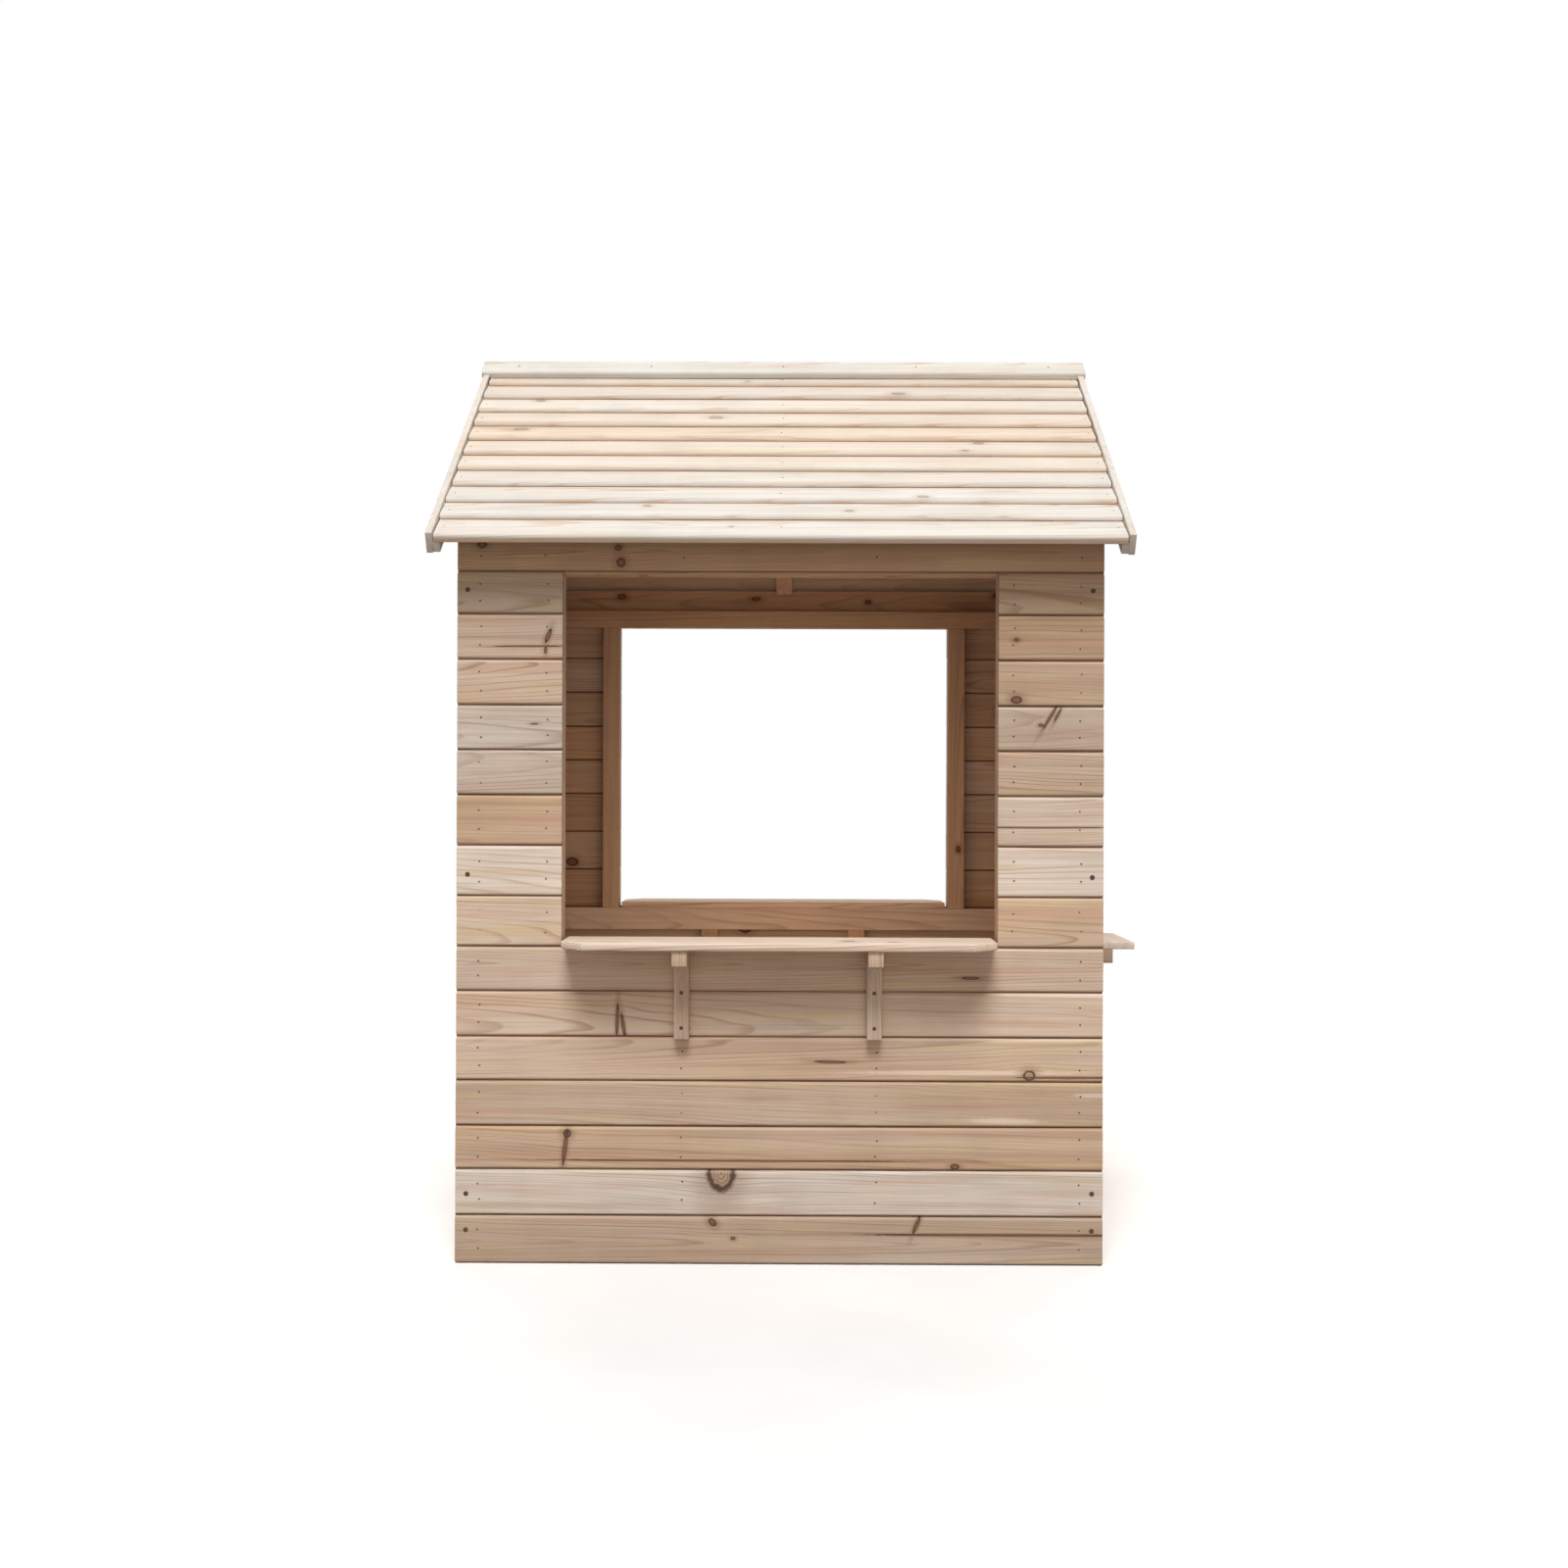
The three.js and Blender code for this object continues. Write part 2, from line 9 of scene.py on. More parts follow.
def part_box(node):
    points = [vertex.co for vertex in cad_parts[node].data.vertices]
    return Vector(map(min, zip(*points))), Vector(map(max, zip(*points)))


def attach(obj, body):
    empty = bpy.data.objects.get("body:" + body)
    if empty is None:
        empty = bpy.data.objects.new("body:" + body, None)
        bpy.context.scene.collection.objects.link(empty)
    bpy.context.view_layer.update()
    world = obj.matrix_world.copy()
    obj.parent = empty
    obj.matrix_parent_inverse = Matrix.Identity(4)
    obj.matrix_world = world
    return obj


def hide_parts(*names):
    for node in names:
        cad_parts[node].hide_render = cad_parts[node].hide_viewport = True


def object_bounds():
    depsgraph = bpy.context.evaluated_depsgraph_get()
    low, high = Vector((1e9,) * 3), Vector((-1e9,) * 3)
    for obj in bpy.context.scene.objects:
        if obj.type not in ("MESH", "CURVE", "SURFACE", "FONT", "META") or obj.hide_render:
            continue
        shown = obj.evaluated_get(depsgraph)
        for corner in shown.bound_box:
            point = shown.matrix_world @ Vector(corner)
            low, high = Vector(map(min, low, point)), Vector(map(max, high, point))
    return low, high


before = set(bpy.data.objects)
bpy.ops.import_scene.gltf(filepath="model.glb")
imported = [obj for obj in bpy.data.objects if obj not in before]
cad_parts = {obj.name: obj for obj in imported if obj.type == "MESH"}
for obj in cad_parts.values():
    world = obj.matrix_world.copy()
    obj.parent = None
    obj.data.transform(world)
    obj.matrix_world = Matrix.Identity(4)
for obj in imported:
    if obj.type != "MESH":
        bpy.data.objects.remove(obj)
CAD_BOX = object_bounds()

# The looks of a child's wooden playhouse: separate planed boards with tongues and V joints,
# lapped roof boards, bevelled battens, nails, screws and hinges, all in procedural materials.
# Metres, +Z up. Left and right are as seen from outside the wall or slope.

MM = 0.001
rng = random.Random(20)

# ---- Sizes of boards, nails and screws ----

# Heights of the rows of wall boards, from the ground to the sill and from there to the eave.
LOWER_ROWS = [row * MM for row in (75, 71, 67, 70, 68, 70, 69)]
UPPER_ROWS = [row * MM for row in (78, 78, 78, 69.5, 69.5, 70.5, 70, 66)]
GABLE_ROW = 75.5 * MM
CLADDING = 12 * MM
ROOF_PITCH = math.radians(32.6)
ROOF_BOARD = 14 * MM
ROOF_STEP = 8.5 * MM
EAVE_BOARD_SHOWING = 70 * MM
ROOF_BOARD_SHOWING = 62.5 * MM
CAP_WIDTH = 42 * MM
CAP_THICK = 10 * MM
BOARD_EASE = 0.8 * MM
DOOR_BOARDS = 6
# Distance from a wall's corner to its nails, and where they are across a board.
NAIL_EDGE = 36 * MM
NAIL_SHARES = (0.3, 0.7)
NAIL_RADIUS = 1.5 * MM
WALL_SCREW_RADIUS = 3.9 * MM
BRACKET_SCREW_RADIUS = 3.0 * MM
LEDGE_SCREW_RADIUS = 3.2 * MM
HINGE_SCREW_RADIUS = 2.6 * MM
WALL_SCREW_HEIGHTS = (0.05, 0.108, 0.6, 1.04)
BRACKET_SCREW_HEIGHTS = (0.018, 0.072)
BRACKET_LEG_THICK = 21 * MM
FLOOR_HALF = 9.0

FRONT_LOW, FRONT_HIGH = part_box("front_lower_boards")
DOOR_LOW, DOOR_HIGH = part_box("door_boards")
CENTRE_X = (FRONT_LOW.x + FRONT_HIGH.x) / 2
HALF_WIDTH = (FRONT_HIGH.x - FRONT_LOW.x) / 2
HALF_DEPTH = -FRONT_LOW.y
SILL = FRONT_HIGH.z
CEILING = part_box("front_header_boards")[1].z - 1 * MM
# Farther than anything on the house.
FAR = 9.0
MERGE_DISTANCE = 0.02 * MM

UP = Vector((0, 0, 1))
RIGHT = Vector((1, 0, 0))
REARWARD = Vector((0, 1, 0))


# ---- Node helpers ----


class Nodes:
    """Short ways to add and link shader nodes."""

    def __init__(self, tree):
        self.tree = tree

    def add(self, kind, inputs=None, **settings):
        node = self.tree.nodes.new(kind)
        for key, value in settings.items():
            setattr(node, key, value)
        for key, value in (inputs or {}).items():
            self.put(node.inputs[key], value)
        return node

    def put(self, socket, value):
        if isinstance(value, bpy.types.NodeSocket):
            self.tree.links.new(value, socket)
        else:
            socket.default_value = value

    def math(self, operation, *values):
        node = self.add("ShaderNodeMath", operation=operation)
        for socket, value in zip(node.inputs, values):
            self.put(socket, value)
        return node.outputs[0]

    def times(self, first, second):
        return self.math("MULTIPLY", first, second)

    def plus(self, first, second):
        return self.math("ADD", first, second)

    def minus(self, first, second):
        return self.math("SUBTRACT", first, second)

    def vector(self, operation, *values):
        node = self.add("ShaderNodeVectorMath", operation=operation)
        for socket, value in zip(node.inputs, values):
            self.put(socket, value)
        return node.outputs["Value"] if operation == "LENGTH" else node.outputs["Vector"]

    def attribute(self, name):
        return self.add("ShaderNodeAttribute", attribute_name=name).outputs["Vector"]

    def split(self, vector):
        node = self.add("ShaderNodeSeparateXYZ", {0: vector})
        return node.outputs[0], node.outputs[1], node.outputs[2]

    def join(self, x, y, z):
        return self.add("ShaderNodeCombineXYZ", {0: x, 1: y, 2: z}).outputs[0]

    def noise(self, vector, scale, detail, roughness=0.5):
        node = self.add(
            "ShaderNodeTexNoise",
            {"Vector": vector, "Scale": scale, "Detail": detail, "Roughness": roughness},
        )
        return node.outputs[0]

    def ramp(self, value, low, high, start=0.0, end=1.0):
        """Smooth step from start at low to end at high."""
        node = self.add(
            "ShaderNodeMapRange",
            {"Value": value, "From Min": low, "From Max": high, "To Min": start, "To Max": end},
            interpolation_type="SMOOTHSTEP",
        )
        return node.outputs[0]

    def mix(self, factor, first, second, blend="MIX"):
        node = self.add("ShaderNodeMix", data_type="RGBA", blend_type=blend)
        self.put(node.inputs[0], factor)
        self.put(node.inputs[6], first)
        self.put(node.inputs[7], second)
        return node.outputs[2]


def new_material(name):
    material = bpy.data.materials.new(name)
    material.use_nodes = True
    tree = material.node_tree
    tree.nodes.clear()
    nodes = Nodes(tree)
    output = nodes.add("ShaderNodeOutputMaterial")
    shader = nodes.add("ShaderNodeBsdfPrincipled")
    tree.links.new(shader.outputs[0], output.inputs[0])
    return material, nodes, shader


# ---- Softwood ----

# The wood reads these mesh attributes, which every wooden piece carries:
#   grain   position in the board, x along it, y and z measured from the tree's centre
#   knot_a to knot_d   x and y distance from a knot or crack, and its radius; a pale streak's
#                      radius is negative
#   tone    lightness, share of the warmer heartwood, greyness
#   rim     1 on the arrises, 0 on the faces; on a roof board's nose and lap it marks painted shade


KNOT_WOOD = (0.22, 0.095, 0.045, 1)
WIDE_KNOT_WOOD = (0.44, 0.29, 0.19, 1)
PALE_WOOD = (0.80, 0.68, 0.54, 1)
KNOT_LAYERS = ("knot_a", "knot_b", "knot_c", "knot_d")


def knot_parts(n, name, wobble):
    """A knot's core, dark edge and halo, how far it pushes the grain aside, the distance from it,
    and how far its core is that of a wide knot. A negative radius makes it a pale streak instead,
    which is given last."""
    x, y, radius = n.split(n.attribute(name))
    size = n.math("MAXIMUM", n.math("ABSOLUTE", radius), 0.00001)
    dark = n.math("GREATER_THAN", radius, 0.0001)
    flat = n.join(n.times(x, 0.7), y, 0.0)
    distance = n.math("DIVIDE", n.vector("LENGTH", flat), size)
    distance = n.plus(distance, n.times(wobble, 0.4))
    core = n.times(n.ramp(distance, 0.84, 1.04, 1.0, 0.0), dark)
    edge = n.times(n.ramp(distance, 0.6, 0.98), n.ramp(distance, 1.0, 1.4, 1.0, 0.0))
    edge = n.times(edge, dark)
    halo = n.times(n.ramp(distance, 0.8, 3.6, 1.0, 0.0), dark)
    pale = n.math("LESS_THAN", radius, -0.0001)
    pale = n.times(n.ramp(distance, 0.5, 1.25, 1.0, 0.0), pale)
    longer = n.join(n.times(x, 0.3), y, 0.0)
    near = n.math("DIVIDE", n.vector("LENGTH", longer), size)
    falling = n.math("POWER", 0.62, near)
    push = n.times(n.times(y, falling), dark)
    wide = n.times(core, n.ramp(radius, 0.0085, 0.0095))
    return core, edge, halo, push, distance, wide, pale


def softwood(
    name, sapwood, heartwood, latewood, blush, straw, arris, contrast=1.0, rough=0.62, knotty=1.0
):
    material, n, shader = new_material(name)
    grain = n.attribute("grain")
    along, across, deep = n.split(grain)
    lightness, warmth, grey = n.split(n.attribute("tone"))
    rim = n.add("ShaderNodeAttribute", attribute_name="rim").outputs["Fac"]

    def stretched(stretch, detail, roughness=0.5, scale=1.0):
        """Noise drawn out along the board."""
        return n.noise(n.vector("MULTIPLY", grain, stretch), scale, detail, roughness)

    wobble = n.minus(n.noise(grain, 130.0, 2.0), 0.5)
    knots = [knot_parts(n, knot, wobble) for knot in KNOT_LAYERS]
    joins = ("MAXIMUM", "MAXIMUM", "MAXIMUM", "ADD", "MINIMUM", "MAXIMUM", "MAXIMUM")
    parts = knots[0]
    for other in knots[1:]:
        parts = [n.math(join, one, more) for join, one, more in zip(joins, parts, other)]
    core, edge, halo, push, inside, wide, pale = parts

    # Growth rings: distance from the tree's centre, wandering slowly along the board.
    wander = n.times(n.minus(stretched((1.3, 11.0, 11.0), 3.0), 0.5), 0.026)
    radius = n.vector("LENGTH", n.join(0.0, n.minus(across, push), deep))
    taper = n.times(along, 0.028)
    radius = n.plus(n.plus(radius, wander), taper)
    uneven = n.times(n.noise(n.join(radius, 0.0, 0.0), 75.0, 2.0), 3.0)
    phase = n.math("FRACT", n.plus(n.times(radius, 210.0), uneven))
    late = n.times(n.ramp(phase, 0.6, 0.94), n.ramp(phase, 0.94, 1.0, 1.0, 0.0))
    patchy = stretched((2.0, 16.0, 16.0), 3.0)
    late = n.times(late, n.ramp(patchy, 0.3, 0.72, 0.25, 1.0))
    late = n.times(late, contrast)

    # Fine fibres and broad soft streaks, both long along the grain.
    fibre = stretched((14.0, 1400.0, 1400.0), 2.0, 0.6)
    streak = stretched((1.6, 95.0, 95.0), 3.0, 0.6)
    cloud = stretched((5.0, 14.0, 14.0), 2.0)
    fine = stretched((3.5, 420.0, 420.0), 2.0, 0.6)
    broad = stretched((1.3, 22.0, 22.0), 2.0)
    drift = n.times(n.minus(broad, 0.5), 1.1)
    heart = n.ramp(n.plus(warmth, drift), -0.15, 1.15)
    base = n.mix(heart, sapwood, heartwood)
    tinge = stretched((1.8, 30.0, 30.0), 2.0, scale=1.7)
    base = n.mix(n.ramp(tinge, 0.5, 0.72, 0.0, 0.5), base, blush)
    base = n.mix(n.ramp(tinge, 0.5, 0.3, 0.0, 0.6), base, straw)
    base = n.mix(n.ramp(streak, 0.5, 0.75, 0.0, 0.16), base, latewood)
    base = n.mix(n.ramp(fine, 0.48, 0.72, 0.0, 0.22), base, latewood)
    base = n.mix(n.times(late, 0.62), base, latewood)
    base = n.mix(n.ramp(fibre, 0.5, 0.8, 0.0, 0.22), base, latewood)
    dull = n.add("ShaderNodeHueSaturation", {"Saturation": 0.45, "Value": 0.97, "Color": base})
    base = n.mix(grey, base, dull.outputs[0])
    base = n.mix(n.times(pale, 0.7), base, PALE_WOOD)
    base = n.mix(n.times(halo, 0.42 * knotty), base, KNOT_WOOD)

    # Knots have rings of their own and a dark edge.
    knot_ring = n.math("SINE", n.times(inside, 24.0))
    knot_colour = n.mix(wide, KNOT_WOOD, WIDE_KNOT_WOOD)
    knot_colour = n.mix(n.ramp(knot_ring, -0.6, 1.0, 0.0, 0.6), knot_colour, (0.09, 0.036, 0.016, 1))
    base = n.mix(n.times(core, 0.85 * knotty), base, knot_colour)
    base = n.mix(n.times(edge, 0.9 * knotty), base, (0.04, 0.016, 0.008, 1))

    # Board to board lightness; arrises take the arris colour: dark joints on the walls, and painted
    # shade on the roof boards' noses and in their laps.
    smudge = n.ramp(n.noise(grain, 9.0, 4.0, 0.6), 0.35, 0.8, 1.0, 0.9)
    dirt_and_shade = n.times(n.ramp(rim, 0.3, 1.0), n.ramp(cloud, 0.3, 0.7, 0.6, 0.9))
    base = n.mix(dirt_and_shade, base, arris)
    bright = n.times(lightness, smudge)
    bright = n.times(bright, n.ramp(streak, 0.2, 0.8, 1.05, 0.94))
    base = n.mix(1.0, base, n.join(bright, bright, bright), blend="MULTIPLY")
    n.put(shader.inputs["Base Color"], base)

    gloss = n.minus(rough + 0.1, n.times(late, 0.08))
    gloss = n.minus(gloss, n.times(core, 0.14))
    gloss = n.plus(gloss, n.times(n.minus(fibre, 0.5), 0.12))
    n.put(shader.inputs["Roughness"], gloss)
    shader.inputs["Specular IOR Level"].default_value = 0.32

    height = n.plus(n.times(late, 0.5), n.times(fibre, 0.35))
    height = n.plus(height, n.times(streak, 0.4))
    height = n.minus(height, n.times(edge, 0.9))
    bump = n.add("ShaderNodeBump", {"Strength": 0.35, "Distance": 0.0007, "Height": height})
    n.put(shader.inputs["Normal"], bump.outputs[0])
    return material


def metal(name, colour, rough, dirt, metallic=0.9):
    material, n, shader = new_material(name)
    where = n.add("ShaderNodeTexCoord").outputs["Object"]
    mottle = n.noise(where, 220.0, 4.0, 0.65)
    spangle = n.add("ShaderNodeTexVoronoi", {"Vector": where, "Scale": 420.0}).outputs["Distance"]
    tint = n.mix(n.ramp(mottle, 0.35, 0.75, 0.0, 0.7), colour, dirt)
    bright = tuple(min(1.0, part * 1.7) for part in colour)
    tint = n.mix(n.times(spangle, 0.3), tint, bright)
    n.put(shader.inputs["Base Color"], tint)
    shader.inputs["Metallic"].default_value = metallic
    n.put(shader.inputs["Roughness"], n.ramp(mottle, 0.3, 0.8, rough, rough + 0.25))
    bump = n.add("ShaderNodeBump", {"Strength": 0.25, "Distance": 0.0003, "Height": mottle})
    n.put(shader.inputs["Normal"], bump.outputs[0])
    return material


def floor_material():
    material, n, shader = new_material("pale_floor")
    where = n.add("ShaderNodeTexCoord").outputs["Object"]
    tone = n.ramp(n.noise(where, 3.0, 3.0), 0.3, 0.7)
    n.put(shader.inputs["Base Color"], n.mix(tone, (0.82, 0.82, 0.82, 1), (0.86, 0.86, 0.86, 1)))
    shader.inputs["Roughness"].default_value = 0.9
    shader.inputs["Specular IOR Level"].default_value = 0.1
    return material


WALL_WOOD = softwood(
    "planed_wall_softwood",
    sapwood=(0.69, 0.60, 0.52, 1),
    heartwood=(0.53, 0.355, 0.235, 1),
    latewood=(0.31, 0.17, 0.09, 1),
    blush=(0.56, 0.345, 0.235, 1),
    straw=(0.63, 0.49, 0.30, 1),
    arris=(0.15, 0.075, 0.035, 1),
)
# Paler and greyer than the wall wood, though it is the same timber: painted light, for the bleached
# look of the brightly lit slopes. Its arris colour is painted shade on the boards' noses and laps.
ROOF_WOOD = softwood(
    "planed_roof_softwood",
    sapwood=(0.63, 0.64, 0.625, 1),
    heartwood=(0.65, 0.525, 0.41, 1),
    latewood=(0.50, 0.33, 0.20, 1),
    blush=(0.66, 0.545, 0.48, 1),
    straw=(0.65, 0.61, 0.50, 1),
    arris=(0.64, 0.38, 0.23, 1),
    contrast=1.1,
    knotty=0.5,
)
FRAME_WOOD = softwood(
    "sawn_batten_softwood",
    sapwood=(0.64, 0.46, 0.31, 1),
    heartwood=(0.54, 0.335, 0.2, 1),
    latewood=(0.32, 0.17, 0.09, 1),
    blush=(0.52, 0.29, 0.18, 1),
    straw=(0.60, 0.42, 0.24, 1),
    arris=(0.3, 0.16, 0.08, 1),
    contrast=1.1,
    rough=0.72,
)
ZINC = metal("zinc_plated_steel", (0.55, 0.56, 0.57, 1), 0.32, (0.32, 0.31, 0.3, 1))
NAIL_STEEL = metal("nail_steel", (0.10, 0.07, 0.05, 1), 0.5, (0.05, 0.03, 0.02, 1), metallic=0.4)
SCREW_STEEL = metal("screw_steel", (0.09, 0.055, 0.035, 1), 0.6, (0.05, 0.03, 0.018, 1), metallic=0.15)


# ---- Meshes that carry the wood's attributes ----


class Timber:
    """Collects boards into one mesh and writes the attributes the wood reads."""

    def __init__(self):
        self.points = []
        self.faces = []
        self.grain = []
        self.knots = ([], [], [], [])
        self.tone = []
        self.rim = []

    def vertex(self, point, grain, knots, tone, rim):
        self.points.append(point)
        self.grain.append(grain)
        for store, (x, y, radius) in zip(self.knots, knots):
            store.append((x, y, radius))
        self.tone.append(tone)
        self.rim.append(rim)

    def piece(self, name, material, body, slot, nodes, smooth=32):
        mesh = bpy.data.meshes.new(name)
        mesh.from_pydata(self.points, [], self.faces)
        self.write(mesh)
        finish_piece(mesh, name, material, body, nodes, smooth)

    def write(self, mesh):
        vectors = {"grain": self.grain, "tone": self.tone}
        vectors.update(zip(KNOT_LAYERS, self.knots))
        for key, values in vectors.items():
            layer = mesh.attributes.new(key, "FLOAT_VECTOR", "POINT")
            layer.data.foreach_set("vector", [part for value in values for part in value])
        layer = mesh.attributes.new("rim", "FLOAT", "POINT")
        layer.data.foreach_set("value", self.rim)


def finish_piece(mesh, name, material, body, nodes, smooth=32):
    """Turns a mesh into a shown piece: outward faces, soft arrises, material and body."""
    work = bmesh.new()
    work.from_mesh(mesh)
    bmesh.ops.recalc_face_normals(work, faces=work.faces)
    work.to_mesh(mesh)
    work.free()
    mesh.polygons.foreach_set("use_smooth", [True] * len(mesh.polygons))
    mesh.set_sharp_from_angle(angle=math.radians(smooth))
    mesh.materials.append(material)
    piece = bpy.data.objects.new(name, mesh)
    bpy.context.scene.collection.objects.link(piece)
    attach(piece, body)
    if nodes:
        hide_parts(*nodes)


def random_tone(light=(0.86, 1.04), warmth=(0.05, 0.9), grey=(0.0, 0.5)):
    """Lightness, warmth and greyness, each between two limits; most boards are hardly grey."""
    return rng.uniform(*light), rng.uniform(*warmth), rng.uniform(*grey) ** 1.5


def random_knots(length, width, often=1.3):
    """Up to three knots as (along, across, radius), more on longer boards."""
    knots = []
    for _ in range(3):
        if rng.random() < often * length / 3:
            radius = rng.choice((2.2, 3.0, 4.0, 5.5, 7.5)) * MM
            knots.append((rng.uniform(0.04, 0.96) * length, rng.uniform(0.1, 0.9) * width, radius))
    return knots


# Painted shade: a darker, browner tone for the roof boards' undersides, which face the dim room.
ROOM_SHADE_TONE = (0.84, 1.5, 0.0)


class Stock:
    """One board's own wood: where the tree's centre was, its tone and its knots, each as (along,
    across, radius) and optionally how many times longer and taller than round it is, and its lean.
    Points lower than `shaded_below` take ROOM_SHADE_TONE, which is painted shade."""

    def __init__(self, width, tone=None, knots=(), shaded_below=-FAR):
        self.start = rng.uniform(0.0, 40.0)
        self.centre = rng.uniform(-0.2, 1.2) * width
        self.depth = rng.choice((-1, 1)) * rng.uniform(0.012, 0.07)
        self.tone = tone or random_tone()
        self.shaded_below = shaded_below
        padded = list(knots) + [(FAR, FAR, 0.0)] * len(KNOT_LAYERS)
        round_knot = (1.0, 1.0, 0.0)
        self.knots = [(*knot, *round_knot[len(knot) - 3:]) for knot in padded[: len(KNOT_LAYERS)]]

    def values(self, u, v, w):
        grain = (self.start + u, v - self.centre, w + self.depth)
        knots = []
        for x, y, size, long, tall, lean in self.knots:
            knots.append(((u - x - (v - y) * lean) / long, (v - y) / tall, size))
        return grain, knots, ROOM_SHADE_TONE if w < self.shaded_below else self.tone


def tube_faces(first, rings, count):
    """Faces of rings of points numbered from first on, with both ends closed."""
    faces = []
    for start in range(first, first + (rings - 1) * count, count):
        for step in range(count):
            corner, beside = start + step, start + (step + 1) % count
            faces.append((corner, beside, beside + count, corner + count))
    for start in (first, first + (rings - 1) * count):
        faces.append(tuple(range(start, start + count)))
    return faces


def add_board(timber, origin, axes, profile, ends, stock, sections=8, bow=0.5 * MM):
    """Runs a profile along a board. profile: (across, out, rim) points; ends: two functions that
    give the start and the end along the board for a distance across it; axes: along, across, out."""
    along, across, out = axes
    across_bow = rng.uniform(-bow, bow) * 0.5
    out_bow = rng.uniform(-bow, bow)
    centre_v = sum(point[0] for point in profile) / len(profile)
    centre_w = sum(point[1] for point in profile) / len(profile)
    first = len(timber.points)
    # Each station is (share of the length, nudge inwards along it, inset of the section). The ends
    # have two stations each, which ease their arrises.
    stations = [(0.0, 0.0, BOARD_EASE)]
    for step in range(sections + 1):
        stations.append((step / sections, BOARD_EASE * (step in (0, sections)), 0.0))
    stations += [(1.0, 0.0, BOARD_EASE)]
    for number, (share, nudge, inset) in enumerate(stations):
        if share == 1.0:
            nudge = -nudge
        for v, w, rim in profile:
            start, end = ends[0](v), ends[1](v)
            u = start + (end - start) * share + nudge
            inner_v = v + (inset if v < centre_v else -inset)
            inner_w = w + (inset if w < centre_w else -inset)
            swell = math.sin(math.pi * share)
            point = origin + along * u + across * (inner_v + across_bow * swell)
            point = point + out * (inner_w + out_bow * swell)
            at_end = 0.35 if number in (0, len(stations) - 1) else 0.0
            timber.vertex(point, *stock.values(u, inner_v, inner_w), max(rim, at_end))
    timber.faces += tube_faces(first, len(stations), len(profile))


def tongued_profile(width, tongue, groove):
    """Section of a V-jointed board: across from 0 to width, out from 0 to its thickness."""
    thick = CLADDING
    points = [(1.3 * MM, thick - 2.4 * MM, 0.5), (3.0 * MM, thick - 0.3 * MM, 0.1)]
    points += [(4.0 * MM, thick, 0.0), (6.5 * MM, thick, 0.0), (width - 7.5 * MM, thick, 0.0)]
    points += [(width - 5.2 * MM, thick, 0.0), (width - 4.3 * MM, thick - 0.3 * MM, 0.0)]
    points += [(width - 1.3 * MM, thick - 3.2 * MM, 0.2)]
    if tongue:
        tip = width + 3 * MM
        points += [(width - 1.0 * MM, thick - 4.6 * MM, 1.0), (tip, thick - 4.6 * MM, 1.0)]
        points += [(tip, thick - 7.6 * MM, 1.0), (width - 0.5 * MM, thick - 7.6 * MM, 1.0)]
    points += [(width - 0.4 * MM, 0.9 * MM, 1.0), (width - 1.5 * MM, 0.0, 0.9)]
    points += [(width - 3 * MM, 0.0, 0.0), (3 * MM, 0.0, 0.0)]
    points += [(1.5 * MM, 0.0, 0.9), (0.4 * MM, 0.9 * MM, 1.0)]
    if groove:
        points += [(0.4 * MM, thick - 8.2 * MM, 1.0), (3.8 * MM, thick - 8.2 * MM, 1.0)]
        points += [(3.8 * MM, thick - 4.2 * MM, 1.0), (1.0 * MM, thick - 4.2 * MM, 1.0)]
    return points


def constant(value):
    """A square end of a board, for add_board."""
    return lambda across: value


def rows_between(low, high):
    """The wall's rows of boards between two heights, as (bottom, top)."""
    seams = [0.0]
    for row in LOWER_ROWS + UPPER_ROWS:
        seams.append(seams[-1] + row)
    while seams[-1] < CAD_BOX[1].z:
        seams.append(seams[-1] + GABLE_ROW)
    near = 4 * MM
    inside = [seam for seam in seams if low + near < seam < high - near]
    marks = [low] + inside + [high]
    return list(zip(marks[:-1], marks[1:]))


# ---- Nails and screws ----


class Fasteners:
    """Collects the heads that go into one mesh."""

    def __init__(self):
        self.points = []
        self.faces = []

    def head(self, centre, out, radius, stand, rings, recess=0.0):
        """A round head: rings are (share of radius, share of stand) from the edge inwards."""
        side = out.orthogonal().normalized()
        other = out.cross(side)
        turn = rng.uniform(0, math.pi)
        sides = 18
        first = len(self.points)
        levels = [(1.0, -0.4)] + list(rings)
        for number, (share, height) in enumerate(levels):
            for step in range(sides):
                angle = turn + step * math.tau / sides
                lobe = 1.0
                if recess and number >= len(levels) - 2:
                    lobe = 1.0 + 0.28 * math.cos(6 * (angle - turn))
                reach = radius * share * lobe
                point = centre + side * math.cos(angle) * reach + other * math.sin(angle) * reach
                level = stand * height - (recess if number == len(levels) - 1 else 0.0)
                self.points.append(point + out * level)
        self.faces += tube_faces(first, len(levels), sides)

    def nail(self, centre, out):
        rings = [(1.0, 0.35), (0.8, 0.8), (0.35, 1.0)]
        self.head(centre, out, NAIL_RADIUS, 0.35 * MM, rings)

    def screw(self, centre, out, radius=WALL_SCREW_RADIUS):
        rings = [(1.0, 0.3), (0.92, 0.75), (0.62, 1.0), (0.46, 1.0), (0.42, 0.6)]
        self.head(centre, out, radius, 0.7 * MM, rings, recess=0.3 * MM)

    def piece(self, name, material, body):
        mesh = bpy.data.meshes.new(name)
        mesh.from_pydata(self.points, [], self.faces)
        finish_piece(mesh, name, material, body, (), smooth=40)


HOUSE_NAILS = Fasteners()
HOUSE_SCREWS = Fasteners()
ROOF_NAILS = Fasteners()
DOOR_SCREWS = Fasteners()
HINGE_SCREWS = {"house": Fasteners(), "door": Fasteners()}


def jitter(amount=1.6 * MM):
    """How far a nail or screw is off its mark."""
    return rng.uniform(-amount, amount)
